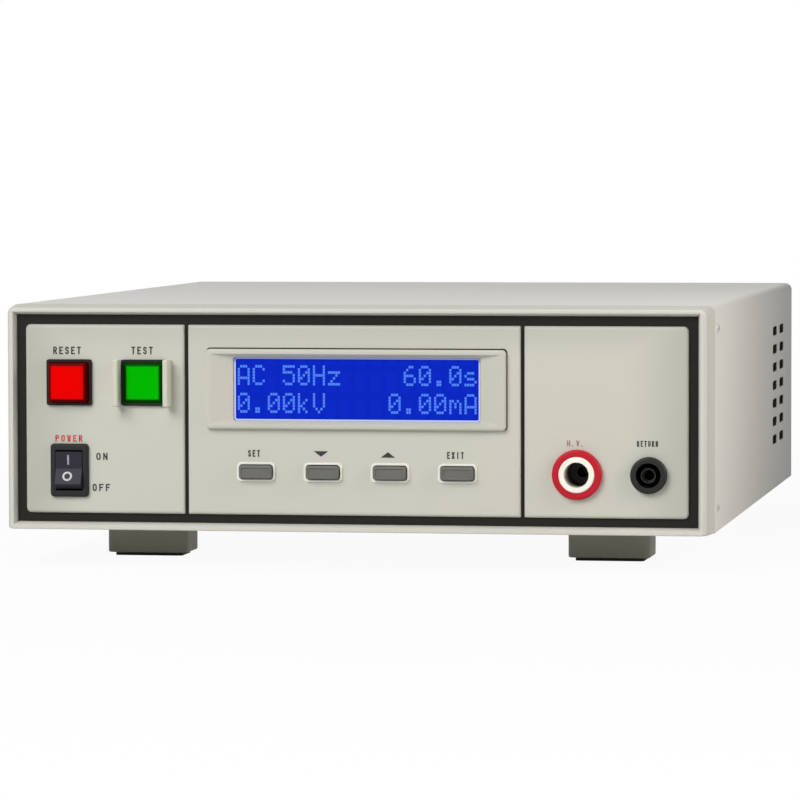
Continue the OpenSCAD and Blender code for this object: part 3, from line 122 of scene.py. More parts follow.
class DisplaySettings(bpy.types.PropertyGroup):
    """The lit display"""

    glass: tint("Glass", "Lit ground of the display", (2, 38, 196))
    dot: tint("Dots", "Lit dots of the readout", (78, 130, 240))
    line: tint("Border", "Bright line round the glass", (192, 204, 246))
    upper: StringProperty(name="Upper row", description="Sixteen characters", default="AC 50Hz    60.0s")
    lower: StringProperty(name="Lower row", description="Sixteen characters", default="0.00kV    0.00mA")
    pitch: size("Pitch", "Distance from one character to the next", 6.0)
    row_pitch: size("Row pitch", "Distance from one row to the next", 10.9)
    dot_width: size("Dot pitch across", "Distance between dots, sideways", 0.98)
    dot_height: size("Dot pitch up", "Distance between dots, up and down", 1.14)
    border: size("Border width", "Width of the line round the glass", 0.6)


class LegendSettings(bpy.types.PropertyGroup):
    """The printed legends"""

    ink: tint("Ink", "Print beside the controls", (44, 43, 40))
    red_ink: tint("Red ink", "Print over the power switch", (190, 74, 72))
    pale_ink: tint("Pale ink", "Thin print over the high-voltage socket", (134, 92, 88))
    mark: tint("Rocker ring", "Paint of the ring on the rocker", (206, 205, 208))
    bar: tint("Rocker bar", "Paint of the bar on the rocker", (152, 152, 160))
    weight: size("Weight", "Width of a letter's stroke", 0.55)
    thin_weight: size("Thin weight", "Width of a thin letter's stroke", 0.34)
    rise: size("Rise", "How far the print stands over its plate", 0.04)


class StageSettings(bpy.types.PropertyGroup):
    """Camera, light and floor"""

    lens: number("Lens", "Focal length on a 36 mm sensor", 213.43, unit="CAMERA")
    eye: FloatVectorProperty(
        name="Eye", description="Place of the camera", subtype="XYZ", unit="LENGTH", size=3,
        default=(0.329383, -2.001292, 0.160160),
    )
    yaw: number("Yaw", "Turn to the left", math.radians(9.691), subtype="ANGLE")
    pitch: number("Pitch", "Tilt down", math.radians(2.9035), subtype="ANGLE")
    roll: number("Roll", "Turn about the view", -0.00201, subtype="ANGLE")
    sky: number("Sky", "Strength of the even light", 0.12, min=0.0)
    key: number("Key lamp", "Soft lamp at the upper left", 17.0, unit="POWER")
    fill: number("Fill lamp", "Small lamp at the right", 0.54, unit="POWER")
    top: number("Top lamp", "Soft lamp overhead", 7.8, unit="POWER")
    back: number("Back lamp", "Low lamp behind the case", 5.6, unit="POWER")
    floor: tint("Floor", "Colour of the floor", (212, 212, 212))


SETTINGS = {
    "tester_case": CaseSettings,
    "tester_front": FrontSettings,
    "tester_display": DisplaySettings,
    "tester_legend": LegendSettings,
    "tester_stage": StageSettings,
}


# ---- shapes


def loft(rings, loop=False):
    """Skin over rings of points: quads join points j and j + 1 of a ring to those of the next, and caps close an open
    row of rings."""
    count, around = rings.shape[:2]
    ring = np.arange(count if loop else count - 1)[:, None]
    step = np.arange(around)[None, :]
    here, after = ring * around, ((ring + 1) % count) * around
    beside = (step + 1) % around
    sides = np.stack([here + step, here + beside, after + beside, after + step], -1).reshape(-1, 4)
    faces = [sides]
    if not loop:
        faces.append(np.arange(around)[None, ::-1])
        faces.append(np.arange(around)[None, :] + (count - 1) * around)
    return rings.reshape(-1, 3), faces


MITRE_FLOOR = 0.62  # least cosine that stretches a corner


def stroke(path, width, back, front):
    """Band along a flat path of (x, z) points, between a back and a front plane: the mean normal of the runs at a
    point, stretched at corners, is stepped half a width each way. Open ends run on by half a width."""
    path = np.array(path, float)
    loop = bool(np.allclose(path[0], path[-1]))
    if loop:
        path = path[:-1]
        run = np.roll(path, -1, 0) - path
    else:
        run = np.diff(path, axis=0)
    run /= np.linalg.norm(run, axis=1, keepdims=True)
    normal = np.stack([-run[:, 1], run[:, 0]], -1)
    if loop:
        before, after = np.roll(normal, 1, 0), normal
    else:
        path[0] -= run[0] * width / 2
        path[-1] += run[-1] * width / 2
        before, after = np.concatenate([normal[:1], normal]), np.concatenate([normal, normal[-1:]])
    mean = before + after
    mean /= np.linalg.norm(mean, axis=1, keepdims=True)
    reach = width / 2 * mean / np.maximum((mean * before).sum(1, keepdims=True), MITRE_FLOOR)
    left, right = path + reach, path - reach
    corners = (left, front), (right, front), (right, back), (left, back)
    return loft(np.stack([np.insert(side, 1, depth, 1) for side, depth in corners], 1), loop)


def prism(outline, back, front):
    """Flat (x, z) outline carried straight from a front plane to a back plane."""
    outline = np.array(outline, float)
    return loft(np.stack([np.insert(outline, 1, front, 1), np.insert(outline, 1, back, 1)]))


def boxes(centres, half):
    """Equal boxes: the eight corners of one box, plus each centre, with the six faces counted on by eight."""
    corner = np.array([[x, y, z] for x in (-1, 1) for y in (-1, 1) for z in (-1, 1)]) * np.asarray(half)
    sides = np.array([[0, 1, 3, 2], [4, 6, 7, 5], [0, 4, 5, 1], [2, 3, 7, 6], [0, 2, 6, 4], [1, 5, 7, 3]])
    centres = np.asarray(centres, float)
    points = (centres[:, None, :] + corner[None]).reshape(-1, 3)
    faces = (sides[None] + 8 * np.arange(len(centres))[:, None, None]).reshape(-1, 4)
    return points, [faces]


def bend(centre, reach, start, stop, steps=9):
    """Points on an ellipse about a centre from one angle to another, in degrees."""
    angle = np.radians(np.linspace(start, stop, steps))
    return [*zip(centre[0] + reach[0] * np.cos(angle), centre[1] + reach[1] * np.sin(angle))]


def circle(centre, radius, steps):
    """Points on a circle, with the first point again at the end."""
    return bend(centre, (radius, radius), 0, 360, steps + 1)


def turned_to(part, base, across, up, out):
    """Points drawn in (x, y, z) carried to a face: x along across, z along up, and minus y along out."""
    points, faces = part
    basis = np.array([across, -np.asarray(out, float), up], float)
    return np.asarray(points) @ basis + np.asarray(base, float), faces


def joined(parts):
    """One list of points and faces from several, with each part's faces counted on from the last."""
    starts = np.cumsum([0] + [len(points) for points, _ in parts])
    points = np.concatenate([points for points, _ in parts])
    faces = []
    for (_, groups), start in zip(parts, starts):
        for group in groups:
            faces += (group + start).tolist()
    return points, faces


def placed(name, data):
    """New object in the scene."""
    made = bpy.data.objects.new(name, data)
    bpy.context.scene.collection.objects.link(made)
    return made


def add_piece(name, parts, material, body="case"):
    """Closed mesh from parts, faces outwards, riding on a body."""
    points, faces = joined(parts)
    mesh = bpy.data.meshes.new(name)
    mesh.from_pydata(points.tolist(), [], faces)
    shape = bmesh.new()
    shape.from_mesh(mesh)
    bmesh.ops.recalc_face_normals(shape, faces=shape.faces)
    shape.to_mesh(mesh)
    shape.free()
    mesh.materials.append(material)
    made = placed(name, mesh)
    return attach(made, body)


def middle(node):
    """Middle of a node's box, in metres."""
    low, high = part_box(node)
    return (low + high) / 2


# ---- letters

# paths of each letter in a unit square
BOWL = bend((0.52, 0.76), (0.48, 0.24), 90, -90)
UPPER_TURN = bend((0.5, 0.76), (0.5, 0.24), 15, 270)
LOWER_TURN = bend((0.5, 0.26), (0.5, 0.26), 90, -165)
LETTERS = {
    "E": [[(1, 1), (0, 1), (0, 0), (1, 0)], [(0, 0.52), (0.75, 0.52)]],
    "F": [[(1, 1), (0, 1), (0, 0)], [(0, 0.52), (0.75, 0.52)]],
    "H": [[(0, 0), (0, 1)], [(1, 0), (1, 1)], [(0, 0.5), (1, 0.5)]],
    "I": [[(0.5, 0), (0.5, 1)]],
    "N": [[(0, 0), (0, 1)], [(0.06, 0.95), (0.94, 0.05)], [(1, 0), (1, 1)]],
    "O": [bend((0.5, 0.68), (0.5, 0.32), 0, 180) + bend((0.5, 0.32), (0.5, 0.32), 180, 360) + [(1.0, 0.68)]],
    "P": [[(0, 0), (0, 1)] + BOWL + [(0, 0.52)]],
    "R": [[(0, 0), (0, 1)] + BOWL + [(0, 0.52)], [(0.5, 0.5), (1, 0)]],
    "S": [UPPER_TURN + LOWER_TURN[1:]],
    "T": [[(0, 1), (1, 1)], [(0.5, 1), (0.5, 0)]],
    "U": [[(0, 1)] + bend((0.5, 0.3), (0.5, 0.3), 180, 360) + [(1, 1)]],
    "V": [[(0, 1), (0.47, 0.03)], [(1, 1), (0.53, 0.03)]],
    "W": [
        [(0, 1), (0.23, 0.02)], [(0.27, 0.02), (0.49, 0.7)],
        [(0.51, 0.7), (0.73, 0.02)], [(0.77, 0.02), (1, 1)],
    ],
    "X": [[(0, 0), (1, 1)], [(0, 1), (1, 0)]],
    ".": [[(0.2, 0), (0.2, 0.04)]],
}
LETTER_GAP = 0.36  # share of the pitch that stays free between letters
STROKE_LIMIT = 0.27  # widest stroke, as a share of the pitch
LAYER = 0.006 * MM  # how far a stroke stands over the one before


def word(text, place, across, tall, weight, back, front):
    """Letters of equal width in a row: their paths, scaled into cells less half a stroke all round, carried as strokes.
    The layers keep two strokes of a letter out of one plane."""
    pitch = across / (len(text) - LETTER_GAP)
    weight = min(weight, STROKE_LIMIT * pitch)
    cell = np.array([pitch * (1 - LETTER_GAP), tall]) - weight
    corner = np.array([place[0] - across / 2, place[1] - tall / 2]) + weight / 2
    return [
        stroke(np.array(path) * cell + corner + [pitch * number, 0], weight, back, front - LAYER * layer)
        for number, letter in enumerate(text)
        for layer, path in enumerate(LETTERS[letter])
    ]


# the seven rows of each readout character, with five dots as the bits of a number
DOT_ROWS = {
    "0": (14, 17, 19, 21, 25, 17, 14), "1": (4, 12, 4, 4, 4, 4, 14), "2": (14, 17, 1, 2, 4, 8, 31),
    "3": (31, 2, 4, 2, 1, 17, 14), "4": (2, 6, 10, 18, 31, 2, 2), "5": (31, 16, 30, 1, 1, 17, 14),
    "6": (6, 8, 16, 30, 17, 17, 14), "7": (31, 1, 2, 4, 8, 8, 8), "8": (14, 17, 17, 14, 17, 17, 14),
    "9": (14, 17, 17, 15, 1, 2, 12), ".": (0, 0, 0, 0, 0, 12, 12), " ": (0, 0, 0, 0, 0, 0, 0),
    "A": (14, 17, 17, 17, 31, 17, 17), "C": (14, 17, 16, 16, 16, 17, 14), "D": (28, 18, 17, 17, 17, 18, 28),
    "H": (17, 17, 17, 31, 17, 17, 17), "V": (17, 17, 17, 17, 17, 10, 4), "k": (16, 16, 18, 20, 24, 20, 18),
    "m": (0, 0, 26, 21, 21, 17, 17), "s": (0, 0, 14, 16, 14, 1, 30), "z": (0, 0, 31, 2, 4, 8, 31),
}


# ---- shader sums


class Shade:
    """A shader socket in Python sums: an expression adds its Math nodes."""

    def __init__(self, paint, socket):
        self.paint, self.socket = paint, socket

    def math(self, operation, first, second):
        """Math node on two values."""
        return self.paint.node("ShaderNodeMath", {0: first, 1: second}, operation=operation)

    def __add__(self, other):
        return self.math("ADD", self, other)

    def __sub__(self, other):
        return self.math("SUBTRACT", self, other)

    def __rsub__(self, other):
        return self.math("SUBTRACT", other, self)

    def __mul__(self, other):
        return self.math("MULTIPLY", self, other)

    def __pow__(self, other):
        return self.math("POWER", self, other)

    def __abs__(self):
        return self.math("ABSOLUTE", self, 0.0)

    __radd__, __rmul__ = __add__, __mul__

    def wave(self, period):
        """Sine wave of a period along the value."""
        return self.math("SINE", self * (2 * math.pi / period), 0.0)

    def larger(self, other):
        """The larger of two values."""
        return self.math("MAXIMUM", self, other)

    def step(self, low, high):
        """Smooth rise from 0 at low to 1 at high."""
        sockets = {"Value": self, "From Min": low, "From Max": high}
        return self.paint.node("ShaderNodeMapRange", sockets, interpolation_type="SMOOTHSTEP")


class Paint:
    """The node tree of a material or world under construction."""

    def __init__(self, owner):
        owner.use_nodes = True
        self.owner, self.tree = owner, owner.node_tree
        self.tree.nodes.clear()

    def node(self, kind, sockets=None, out=0, **settings):
        """Any node: its settings first, then the values or links of its sockets. Gives one of its outputs."""
        made = self.tree.nodes.new(kind)
        for key, value in settings.items():
            setattr(made, key, value)
        for key, value in (sockets or {}).items():
            socket = made.inputs[key]
            if isinstance(value, Shade):
                self.tree.links.new(value.socket, socket)
            else:
                socket.default_value = (*value, 1.0) if socket.type == "RGBA" else value
        return Shade(self, made.outputs[out]) if made.outputs else None

    def point(self, stretch=EVEN):
        """Object coordinates, stretched along the axes."""
        place = self.node("ShaderNodeTexCoord", out="Object")
        if stretch == EVEN:
            return place
        return self.node("ShaderNodeVectorMath", {0: place, 1: stretch}, operation="MULTIPLY")

    def axes(self):
        """The three object coordinates as values."""
        split = self.node("ShaderNodeSeparateXYZ", {0: self.point()})
        return [Shade(self, output) for output in split.socket.node.outputs]

    def noise(self, grain, detail=2.0, stretch=EVEN):
        """Noise from 0 to 1 with features of a given size in metres."""
        return self.node("ShaderNodeTexNoise", {"Vector": self.point(stretch), "Scale": 0.5 / grain, "Detail": detail})

    def cells(self, grain):
        """Distance to the nearest of scattered points about a grain apart, in cells."""
        return self.node("ShaderNodeTexVoronoi", {"Vector": self.point(), "Scale": 1.0 / grain})

    def blend(self, share, first, second):
        """Colour mix: the first colour at share 0, the second at 1."""
        return self.node("ShaderNodeMix", {0: share, 6: first, 7: second}, out=2, data_type="RGBA")

    def mottle(self, share, colour, first, second):
        """Mix of two shades of a colour."""
        return self.blend(share, shaded(colour, first), shaded(colour, second))

    def coats(self, base, colour, *layers):
        """Shades of a colour over a base: each layer is its share, then what shaded() asks for."""
        for share, *tone in layers:
            base = self.blend(share, base, shaded(colour, *tone))
        return base

    def square_from(self, node):
        """Distance from a node's middle, equal along a square seen from the front."""
        centre = middle(node)
        across, _, up = self.axes()
        return abs(across - centre.x).larger(abs(up - centre.z))

    def edges(self, radius):
        """Normal of the rounded edge, and a mask that is 1 on a sharp edge and 0 away from it."""
        rounded = self.node("ShaderNodeBevel", {"Radius": radius}, samples=4)
        flat = self.node("ShaderNodeNewGeometry", out="Normal")
        match = self.node("ShaderNodeVectorMath", {0: rounded, 1: flat}, out=1, operation="DOT_PRODUCT")
        return rounded, (1 - match).step(0.0, 0.3)

    def bump(self, height, depth, normal=None):
        """Bump of a depth in metres, on a normal or on the face itself."""
        sockets = {"Strength": 1.0, "Distance": depth, "Height": height}
        return self.node("ShaderNodeBump", {**sockets, "Normal": normal} if normal else sockets)

    def surface(self, base, rough, relief=None, gloss=None, **more):
        """Principled shader into the output, with what bump() asks for and more sockets. Gives the material."""
        sockets = {key.replace("_", " ").title(): value for key, value in more.items()}
        if relief:
            sockets["Normal"] = self.bump(*relief)
        if gloss is not None:
            sockets["Specular IOR Level"] = gloss
        sockets.update({"Base Color": base, "Roughness": rough})
        shader = self.node("ShaderNodeBsdfPrincipled", sockets)
        self.node("ShaderNodeOutputMaterial", {"Surface": shader})
        return self.owner


def new_paint(name):
    """Paint of a new material."""
    return Paint(bpy.data.materials.new(name))


def shaded(colour, amount, lift=0.0):
    """Colour lifted by an amount, then made darker or lighter by a factor, up to 1."""
    return tuple(min(1.0, (part + lift) * amount) for part in colour)


# ---- finishes

VENTS = (25 * MM, 95 * MM)  # ends of the side slots, from the cover's rear
VENT_MARGIN = (6 * MM, 4 * MM)  # free of slots at the cover's lower and upper edge
BLUR = 1 * MM  # soft border of that zone
TIN, FIBRE, RUST = (0.62, 0.6, 0.55), (0.42, 0.40, 0.22), (0.2, 0.09, 0.04)
RED_CORE = (0.5, 0.03, 0.03)
CORE_PITCH, SHEET = 1.27 * MM, 0.7 * MM  # of a ribbon's cores and of a transformer's sheets


def painted_sheet(name, colour, grain, slotted=None):
    """Textured paint on sheet: orange-peel grain, slow mottling, edges made paler by wear and a painted highlight, and
    specks of dust.
    On a slotted cover, the cut walls of the side slots carry painted shade, and the line along the front edge is dark."""
    paint = new_paint(name)
    peel = paint.noise(grain, 3.0)
    slow = paint.noise(0.06, 3.0)
    specks = paint.cells(0.007).step(0.07, 0.03) * paint.noise(0.02).step(0.5, 0.7)
    rounded, edge = paint.edges(0.6 * MM)
    base = paint.mottle(slow, colour, 0.965, 1.03)
    # edges paler: wear and painted highlight
    base = paint.coats(base, colour, (specks * 0.10, 0.55), (edge * 0.22, 1.22))
    if slotted:
        low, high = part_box(slotted)
        across, deep, up = paint.axes()
        behind, rise, highest = high.y - deep, up - low.z, high.z - VENT_MARGIN[1]
        zone = behind.step(VENTS[0], VENTS[0] + BLUR) * behind.step(VENTS[1], VENTS[1] - BLUR)
        zone = zone * rise.step(VENT_MARGIN[0], VENT_MARGIN[0] + BLUR) * up.step(highest, highest - BLUR)
        # painted shade on the cut walls of the side slots
        slot_wall_shade = abs(across).step(high.x - 0.12 * MM, high.x - 0.3 * MM) * zone
        seam = (deep - low.y).step(1.3 * MM, 0.5 * MM) * 0.5
        base = paint.coats(base, colour, (seam, 0.6), (slot_wall_shade, 0.07))
    rough = 0.62 + (peel - 0.5) * 0.2 + (slow - 0.5) * 0.1
    return paint.surface(base, rough, (peel, 0.025 * MM, rounded), 0.18)


def moulded(
    name, colour, rough=0.46, grain=0.22 * MM, depth=0.012 * MM, edge_wear_and_highlight=0.18, radius=0.35 * MM, gloss=0.4, front_highlight_node=None
):
    """Moulded plastic: a spark-eroded grain, faint flow mottling, and edges made smoother and paler by wear and a
    painted highlight.
    The front few millimetres of a given node can take a painted highlight too."""
    paint = new_paint(name)
    fine = paint.noise(grain)
    flow = paint.noise(0.025, 3.0, (1.0, 0.5, 1.8))
    rounded, edge = paint.edges(radius)
    base = paint.mottle(flow, colour, 0.96, 1.035)
    # edges paler: wear and painted highlight
    base = paint.coats(base, colour, (fine * 0.10, 0.82), (edge * edge_wear_and_highlight, 1.3, 0.02))
    # painted highlight on the front few millimetres of the given node
    if front_highlight_node:
        _, deep, _ = paint.axes()
        base = paint.coats(base, colour, ((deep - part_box(front_highlight_node)[0].y).step(3.0 * MM, 0.8 * MM), 1.28))
    rough = rough + (fine - 0.5) * 0.16 - edge * 0.08
    return paint.surface(base, rough, (fine, depth, rounded), gloss)


def printed_film(name, colour):
    """Satin film of the front plates: fine grain, stretch lines, a painted highlight on the cut edge, and painted shade
    of the bezel's rim at the ends and top.
    """
    paint = new_paint(name)
    across, _, up = paint.axes()
    # painted shade of the bezel's rim: darker towards the plates' outer ends and along their top
    ends = abs(across).step(104.0 * MM, 134.0 * MM)
    painted_rim_shade = ends.larger((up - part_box("overlay_left")[1].z).step(-14.0 * MM, 1.0 * MM) * 0.6)
    fine = paint.noise(0.14 * MM)
    drawn = paint.noise(0.004, 2.0, (0.25, 1.0, 3.0))
    slow = paint.noise(0.05)
    rounded, edge = paint.edges(0.5 * MM)
    base = paint.mottle(slow, colour, 0.97, 1.025)
    # stretch lines, the rim's painted shade, and a painted highlight on the cut edge
    base = paint.coats(base, colour, (drawn * 0.06, 0.88), (painted_rim_shade * (0.8 + slow * 0.4), 0.8), (edge * 0.45, 1.28))
    rough = 0.5 + (fine - 0.5) * 0.12 + (drawn - 0.5) * 0.08
    return paint.surface(base, rough, (fine, 0.006 * MM, rounded), 0.25)


def shaded_bore_insulator(name, colour, node, radius):
    """White insulator with painted shade: behind the front, the inside of its hole, found by the distance from the
    axis, is painted dark.
    """
    paint = new_paint(name)
    centre, front = middle(node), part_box(node)[0].y
    across, deep, up = paint.axes()
    side, rise = across - centre.x, up - centre.z
    away = (side * side + rise * rise) ** 0.5
    # painted shade inside the socket's hole, behind the front
    painted_bore_shade = away.step(radius + 0.15 * MM, radius) * (deep - front).step(0.0, 16.0 * MM)
    cloud = paint.noise(4.0 * MM)
    rounded, _ = paint.edges(0.25 * MM)
    base = paint.coats(colour, colour, (cloud * 0.3, 0.93), (painted_bore_shade, 0.035))
    return paint.surface(base, 0.34 + cloud * 0.1, (cloud, 0.004 * MM, rounded), 0.3)


def button_lens(name, colour, node):
    """Clear coloured lens: a face lighter towards the middle by a painted glow, and painted shade on the bevel, found
    by the square distance.
    """
    paint = new_paint(name)
    away = paint.square_from(node)
    bevel_shade = away.step(6.1 * MM, 6.9 * MM)
    glow = away.step(0.0, 7.0 * MM)
    haze = paint.noise(3.0 * MM)
    rounded, edge = paint.edges(0.4 * MM)
    # face lighter towards the middle: painted glow
    base = paint.mottle(glow * 0.22 + haze * 0.06, colour, 1.03, 0.84)
    # painted shade on the bevel and its edges
    base = paint.coats(base, colour, (bevel_shade, 0.15), (edge * bevel_shade * 0.25, 0.45))
    relief = paint.noise(0.4 * MM), 0.006 * MM, rounded
    lit = paint.mottle(bevel_shade, colour, 0.04, 0.0)
    return paint.surface(base, 0.3 + haze * 0.1, relief, 0.02, emission_color=lit, emission_strength=1.0)


def housing_with_painted_glow(name, colour, lens, node):
    """Black housing of a lit button: a painted glow in the lens's colour on the rim next to the lens, and edges made
    paler by wear and a painted highlight.
    """
    paint = new_paint(name)
    near = paint.square_from(node).step(8.5 * MM, 8.0 * MM)
    fine = paint.noise(0.22 * MM)
    rounded, edge = paint.edges(0.35 * MM)
    # painted glow of the lens on the rim next to it
    base = paint.coats(colour, lens, (near, 0.07))
    # edges paler: wear and painted highlight
    base = paint.coats(base, colour, (edge * 0.08, 1.3, 0.02))
    return paint.surface(base, 0.45 + (fine - 0.5) * 0.16, (fine, 0.012 * MM, rounded), 0.15)


def lit_glass(name, colour, node, pitch):
    """Lit display: an even blue ground with faint cells of the dot matrix and a darker edge, under a pane."""
    paint = new_paint(name)
    low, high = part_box(node)
    centre = (low + high) / 2
    across, _, up = paint.axes()
    side, rise = across - centre.x, up - centre.z
    cell = side.wave(pitch[0]).step(-0.9, -0.4) * rise.wave(pitch[1]).step(-0.9, -0.5)
    rim = (abs(side) - (high.x - low.x) / 2).larger(abs(rise) - (high.z - low.z) / 2)
    fall = rim.step(-2.6 * MM, 0.0)
    mist = paint.noise(0.02)
    layers = (cell * 0.10, 1.25, 0.01), (fall * 0.5, 0.5), (mist * 0.12, 0.8)
    lit = paint.coats(shaded(colour, 0.96), colour, *layers)
    base = paint.mottle(cell * 0.3, colour, 0.1, 0.2)
    return paint.surface(base, 0.16 + mist * 0.08, gloss=0.04, emission_color=lit, emission_strength=0.9)


def glow_ink(name, colour, strength, fade):
    """Lit ink of the readout: an even glow with a slight grain, weaker above a height."""
    paint = new_paint(name)
    grain = paint.noise(0.3 * MM)
    _, _, up = paint.axes()
    lit = paint.mottle(grain, colour, 0.9, 1.05)
    lit = paint.coats(lit, colour, (up.step(fade - 2.0 * MM, fade), 0.4))
    base = paint.mottle(grain, colour, 0.1, 0.15)
    return paint.surface(base, 0.35 + grain * 0.1, gloss=0.1, emission_color=lit, emission_strength=strength)


def screen_ink(name, colour):
    """Screen-printed ink: uneven cover with pinholes and a matt face."""
    paint = new_paint(name)
    cover = paint.noise(0.35 * MM, 3.0)
    base = paint.coats(shaded(colour, 0.85), colour, (cover.step(0.35, 0.75), 1.2, 0.03))
    return paint.surface(base, 0.6 + cover * 0.15, gloss=0.3)


def brushed_metal(name, colour, rough=0.34, along=(1.0, 0.04, 1.0), grain=0.4 * MM, edge_wear_and_highlight=0.3):
    """Plated or drawn metal: fine lines along one axis, cloudy plating and edges brightened by a painted highlight."""
    paint = new_paint(name)
    lines = paint.noise(grain, 3.0, along)
    cloud = paint.noise(0.012, 3.0)
    rounded, edge = paint.edges(0.3 * MM)
    base = paint.mottle(cloud, colour, 0.88, 1.06)
    # painted highlight on the edges
    base = paint.coats(base, colour, (lines * 0.25, 0.72), (edge * edge_wear_and_highlight, 1.25))
    rough = rough + (lines - 0.5) * 0.2 + (cloud - 0.5) * 0.12
    return paint.surface(base, rough, (lines, 0.008 * MM, rounded), metallic=1.0)


def rubber(name, colour):
    """Matt rubber: a pebbled skin with dusty high spots, and edges made paler by dust and a painted highlight."""
    paint = new_paint(name)
    pebble = paint.cells(0.9 * MM)
    dust = paint.noise(0.006, 3.0)
    rounded, edge = paint.edges(0.5 * MM)
    # dust on high spots; edges paler from dust and a painted highlight
    base = paint.coats(colour, colour, (dust.step(0.45, 0.75) * 0.25, 2.0, 0.03), (edge * 0.2, 1.8, 0.03))
    return paint.surface(base, 0.78 + (pebble - 0.4) * 0.15, (pebble, 0.04 * MM, rounded), 0.25)


def circuit_board(name, colour):
    """Solder mask over copper: tracks as bands of slow noise, pads as bright dots and a fibrous cut edge."""
    paint = new_paint(name)
    tracks = abs(paint.noise(0.009, 1.0) - 0.5).step(0.028, 0.018)
    pads = paint.cells(0.005).step(0.2, 0.15)
    weave = paint.noise(0.3 * MM, 2.0, (1.0, 0.2, 1.0))
    rounded, edge = paint.edges(0.3 * MM)
    base = paint.coats(colour, colour, (tracks * 0.5, 1.7, 0.01))
    base = paint.blend(edge * 0.4, paint.blend(pads * 0.8, base, TIN), FIBRE)
    relief = tracks + pads, 0.03 * MM, rounded
    return paint.surface(base, 0.32 + weave * 0.14 - pads * 0.08, relief, metallic=pads * 0.8)


def wound_wire(name, colour, node=None, turns=0, pitch=0.9 * MM):
    """Enamelled copper wire: a ridge for each turn, counted by the angle about a node's middle or else by height, and
    painted shade in the grooves between turns.
    """
    paint = new_paint(name)
    across, deep, up = paint.axes()
    if node:
        centre = middle(node)
        wave = deep.math("ARCTAN2", deep - centre.y, across - centre.x).wave(2 * math.pi / turns)
    else:
        wave = up.wave(pitch)
    ridge = wave * 0.5 + 0.5
    tone = paint.noise(0.01, 3.0)
    base = paint.mottle(tone, colour, 0.8, 1.1)
    # painted shade in the grooves between turns
    base = paint.coats(base, colour, ((1 - ridge) * 0.6, 0.35))
    return paint.surface(base, 0.3 + tone * 0.15, (ridge, 0.2 * MM), metallic=0.6, coat_weight=0.3)


def laminated(name, colour):
    """Stacked core sheets: thin lines across the stack, varnish drips and rusty specks."""
    paint = new_paint(name)
    _, deep, _ = paint.axes()
    sheet = deep.wave(SHEET) * 0.5 + 0.5
    drip = paint.noise(0.008, 3.0, (1.0, 1.0, 0.3))
    rust = paint.noise(0.003, 4.0).step(0.62, 0.8)
    base = paint.coats(colour, colour, (sheet * 0.4, 0.55), (drip * 0.3, 0.6))
    base = paint.blend(rust * 0.35, base, RUST)
    return paint.surface(base, 0.42 + rust * 0.3, (sheet, 0.1 * MM), metallic=0.7 - rust * 0.6)


def ribbon_cable(name, colour):
    """Flat cable: round cores side by side with painted shade between them, and one red edge core."""
    paint = new_paint(name)
    across, _, _ = paint.axes()
    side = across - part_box("display_ribbon")[0].x
    cores = abs(side.wave(2 * CORE_PITCH))
    # painted shade between the cores
    base = paint.coats(colour, colour, (cores.step(0.4, 0.0) * 0.6, 0.4))
    base = paint.blend(side.step(1.6 * MM, 1.2 * MM), base, RED_CORE)
    return paint.surface(base, 0.45 + cores * 0.1, (cores, 0.3 * MM))


def dress(material, *names):
    """The finish on the material slots of CAD nodes."""
    for name in names:
        for slot in frame["nodes"][name].material_slots:
            slot.material = material


# ---- operators


class TESTER_OT_case(bpy.types.Operator):
    """Finishes of the cover, bezel, chassis, feet and case screws"""

    bl_idname = "tester.case"
    bl_label = "Case"

    def execute(self, context):
        look = context.scene.tester_case
        dress(painted_sheet("cover_paint", look.cover, look.grain, "top_cover"), "top_cover")
        dress(painted_sheet("rear_paint", look.rear, look.grain), "rear_panel")
        # the bezel's edges: wear and painted highlight; its front few millimetres: painted highlight
        bezel = moulded(
            "bezel_plastic", look.bezel, rough=0.56, grain=0.3 * MM, depth=0.014 * MM, edge_wear_and_highlight=0.6, radius=0.8 * MM,
            gloss=0.22, front_highlight_node="front_bezel",
        )
        dress(bezel, "front_bezel")
        dress(brushed_metal("chassis_zinc", look.chassis, 0.4), "bottom_chassis")
        foot = moulded(
            "foot_plastic", look.foot, rough=0.6, grain=0.4 * MM, depth=0.03 * MM, edge_wear_and_highlight=0.3, radius=0.6 * MM, gloss=0.3
        )
        dress(foot, "feet")
        dress(rubber("pad_rubber", look.pad), "foot_pads")
        dress(brushed_metal("screw_steel", srgb(190, 190, 187), 0.3, EVEN, 0.5 * MM), "case_screws")
        return {"FINISHED"}


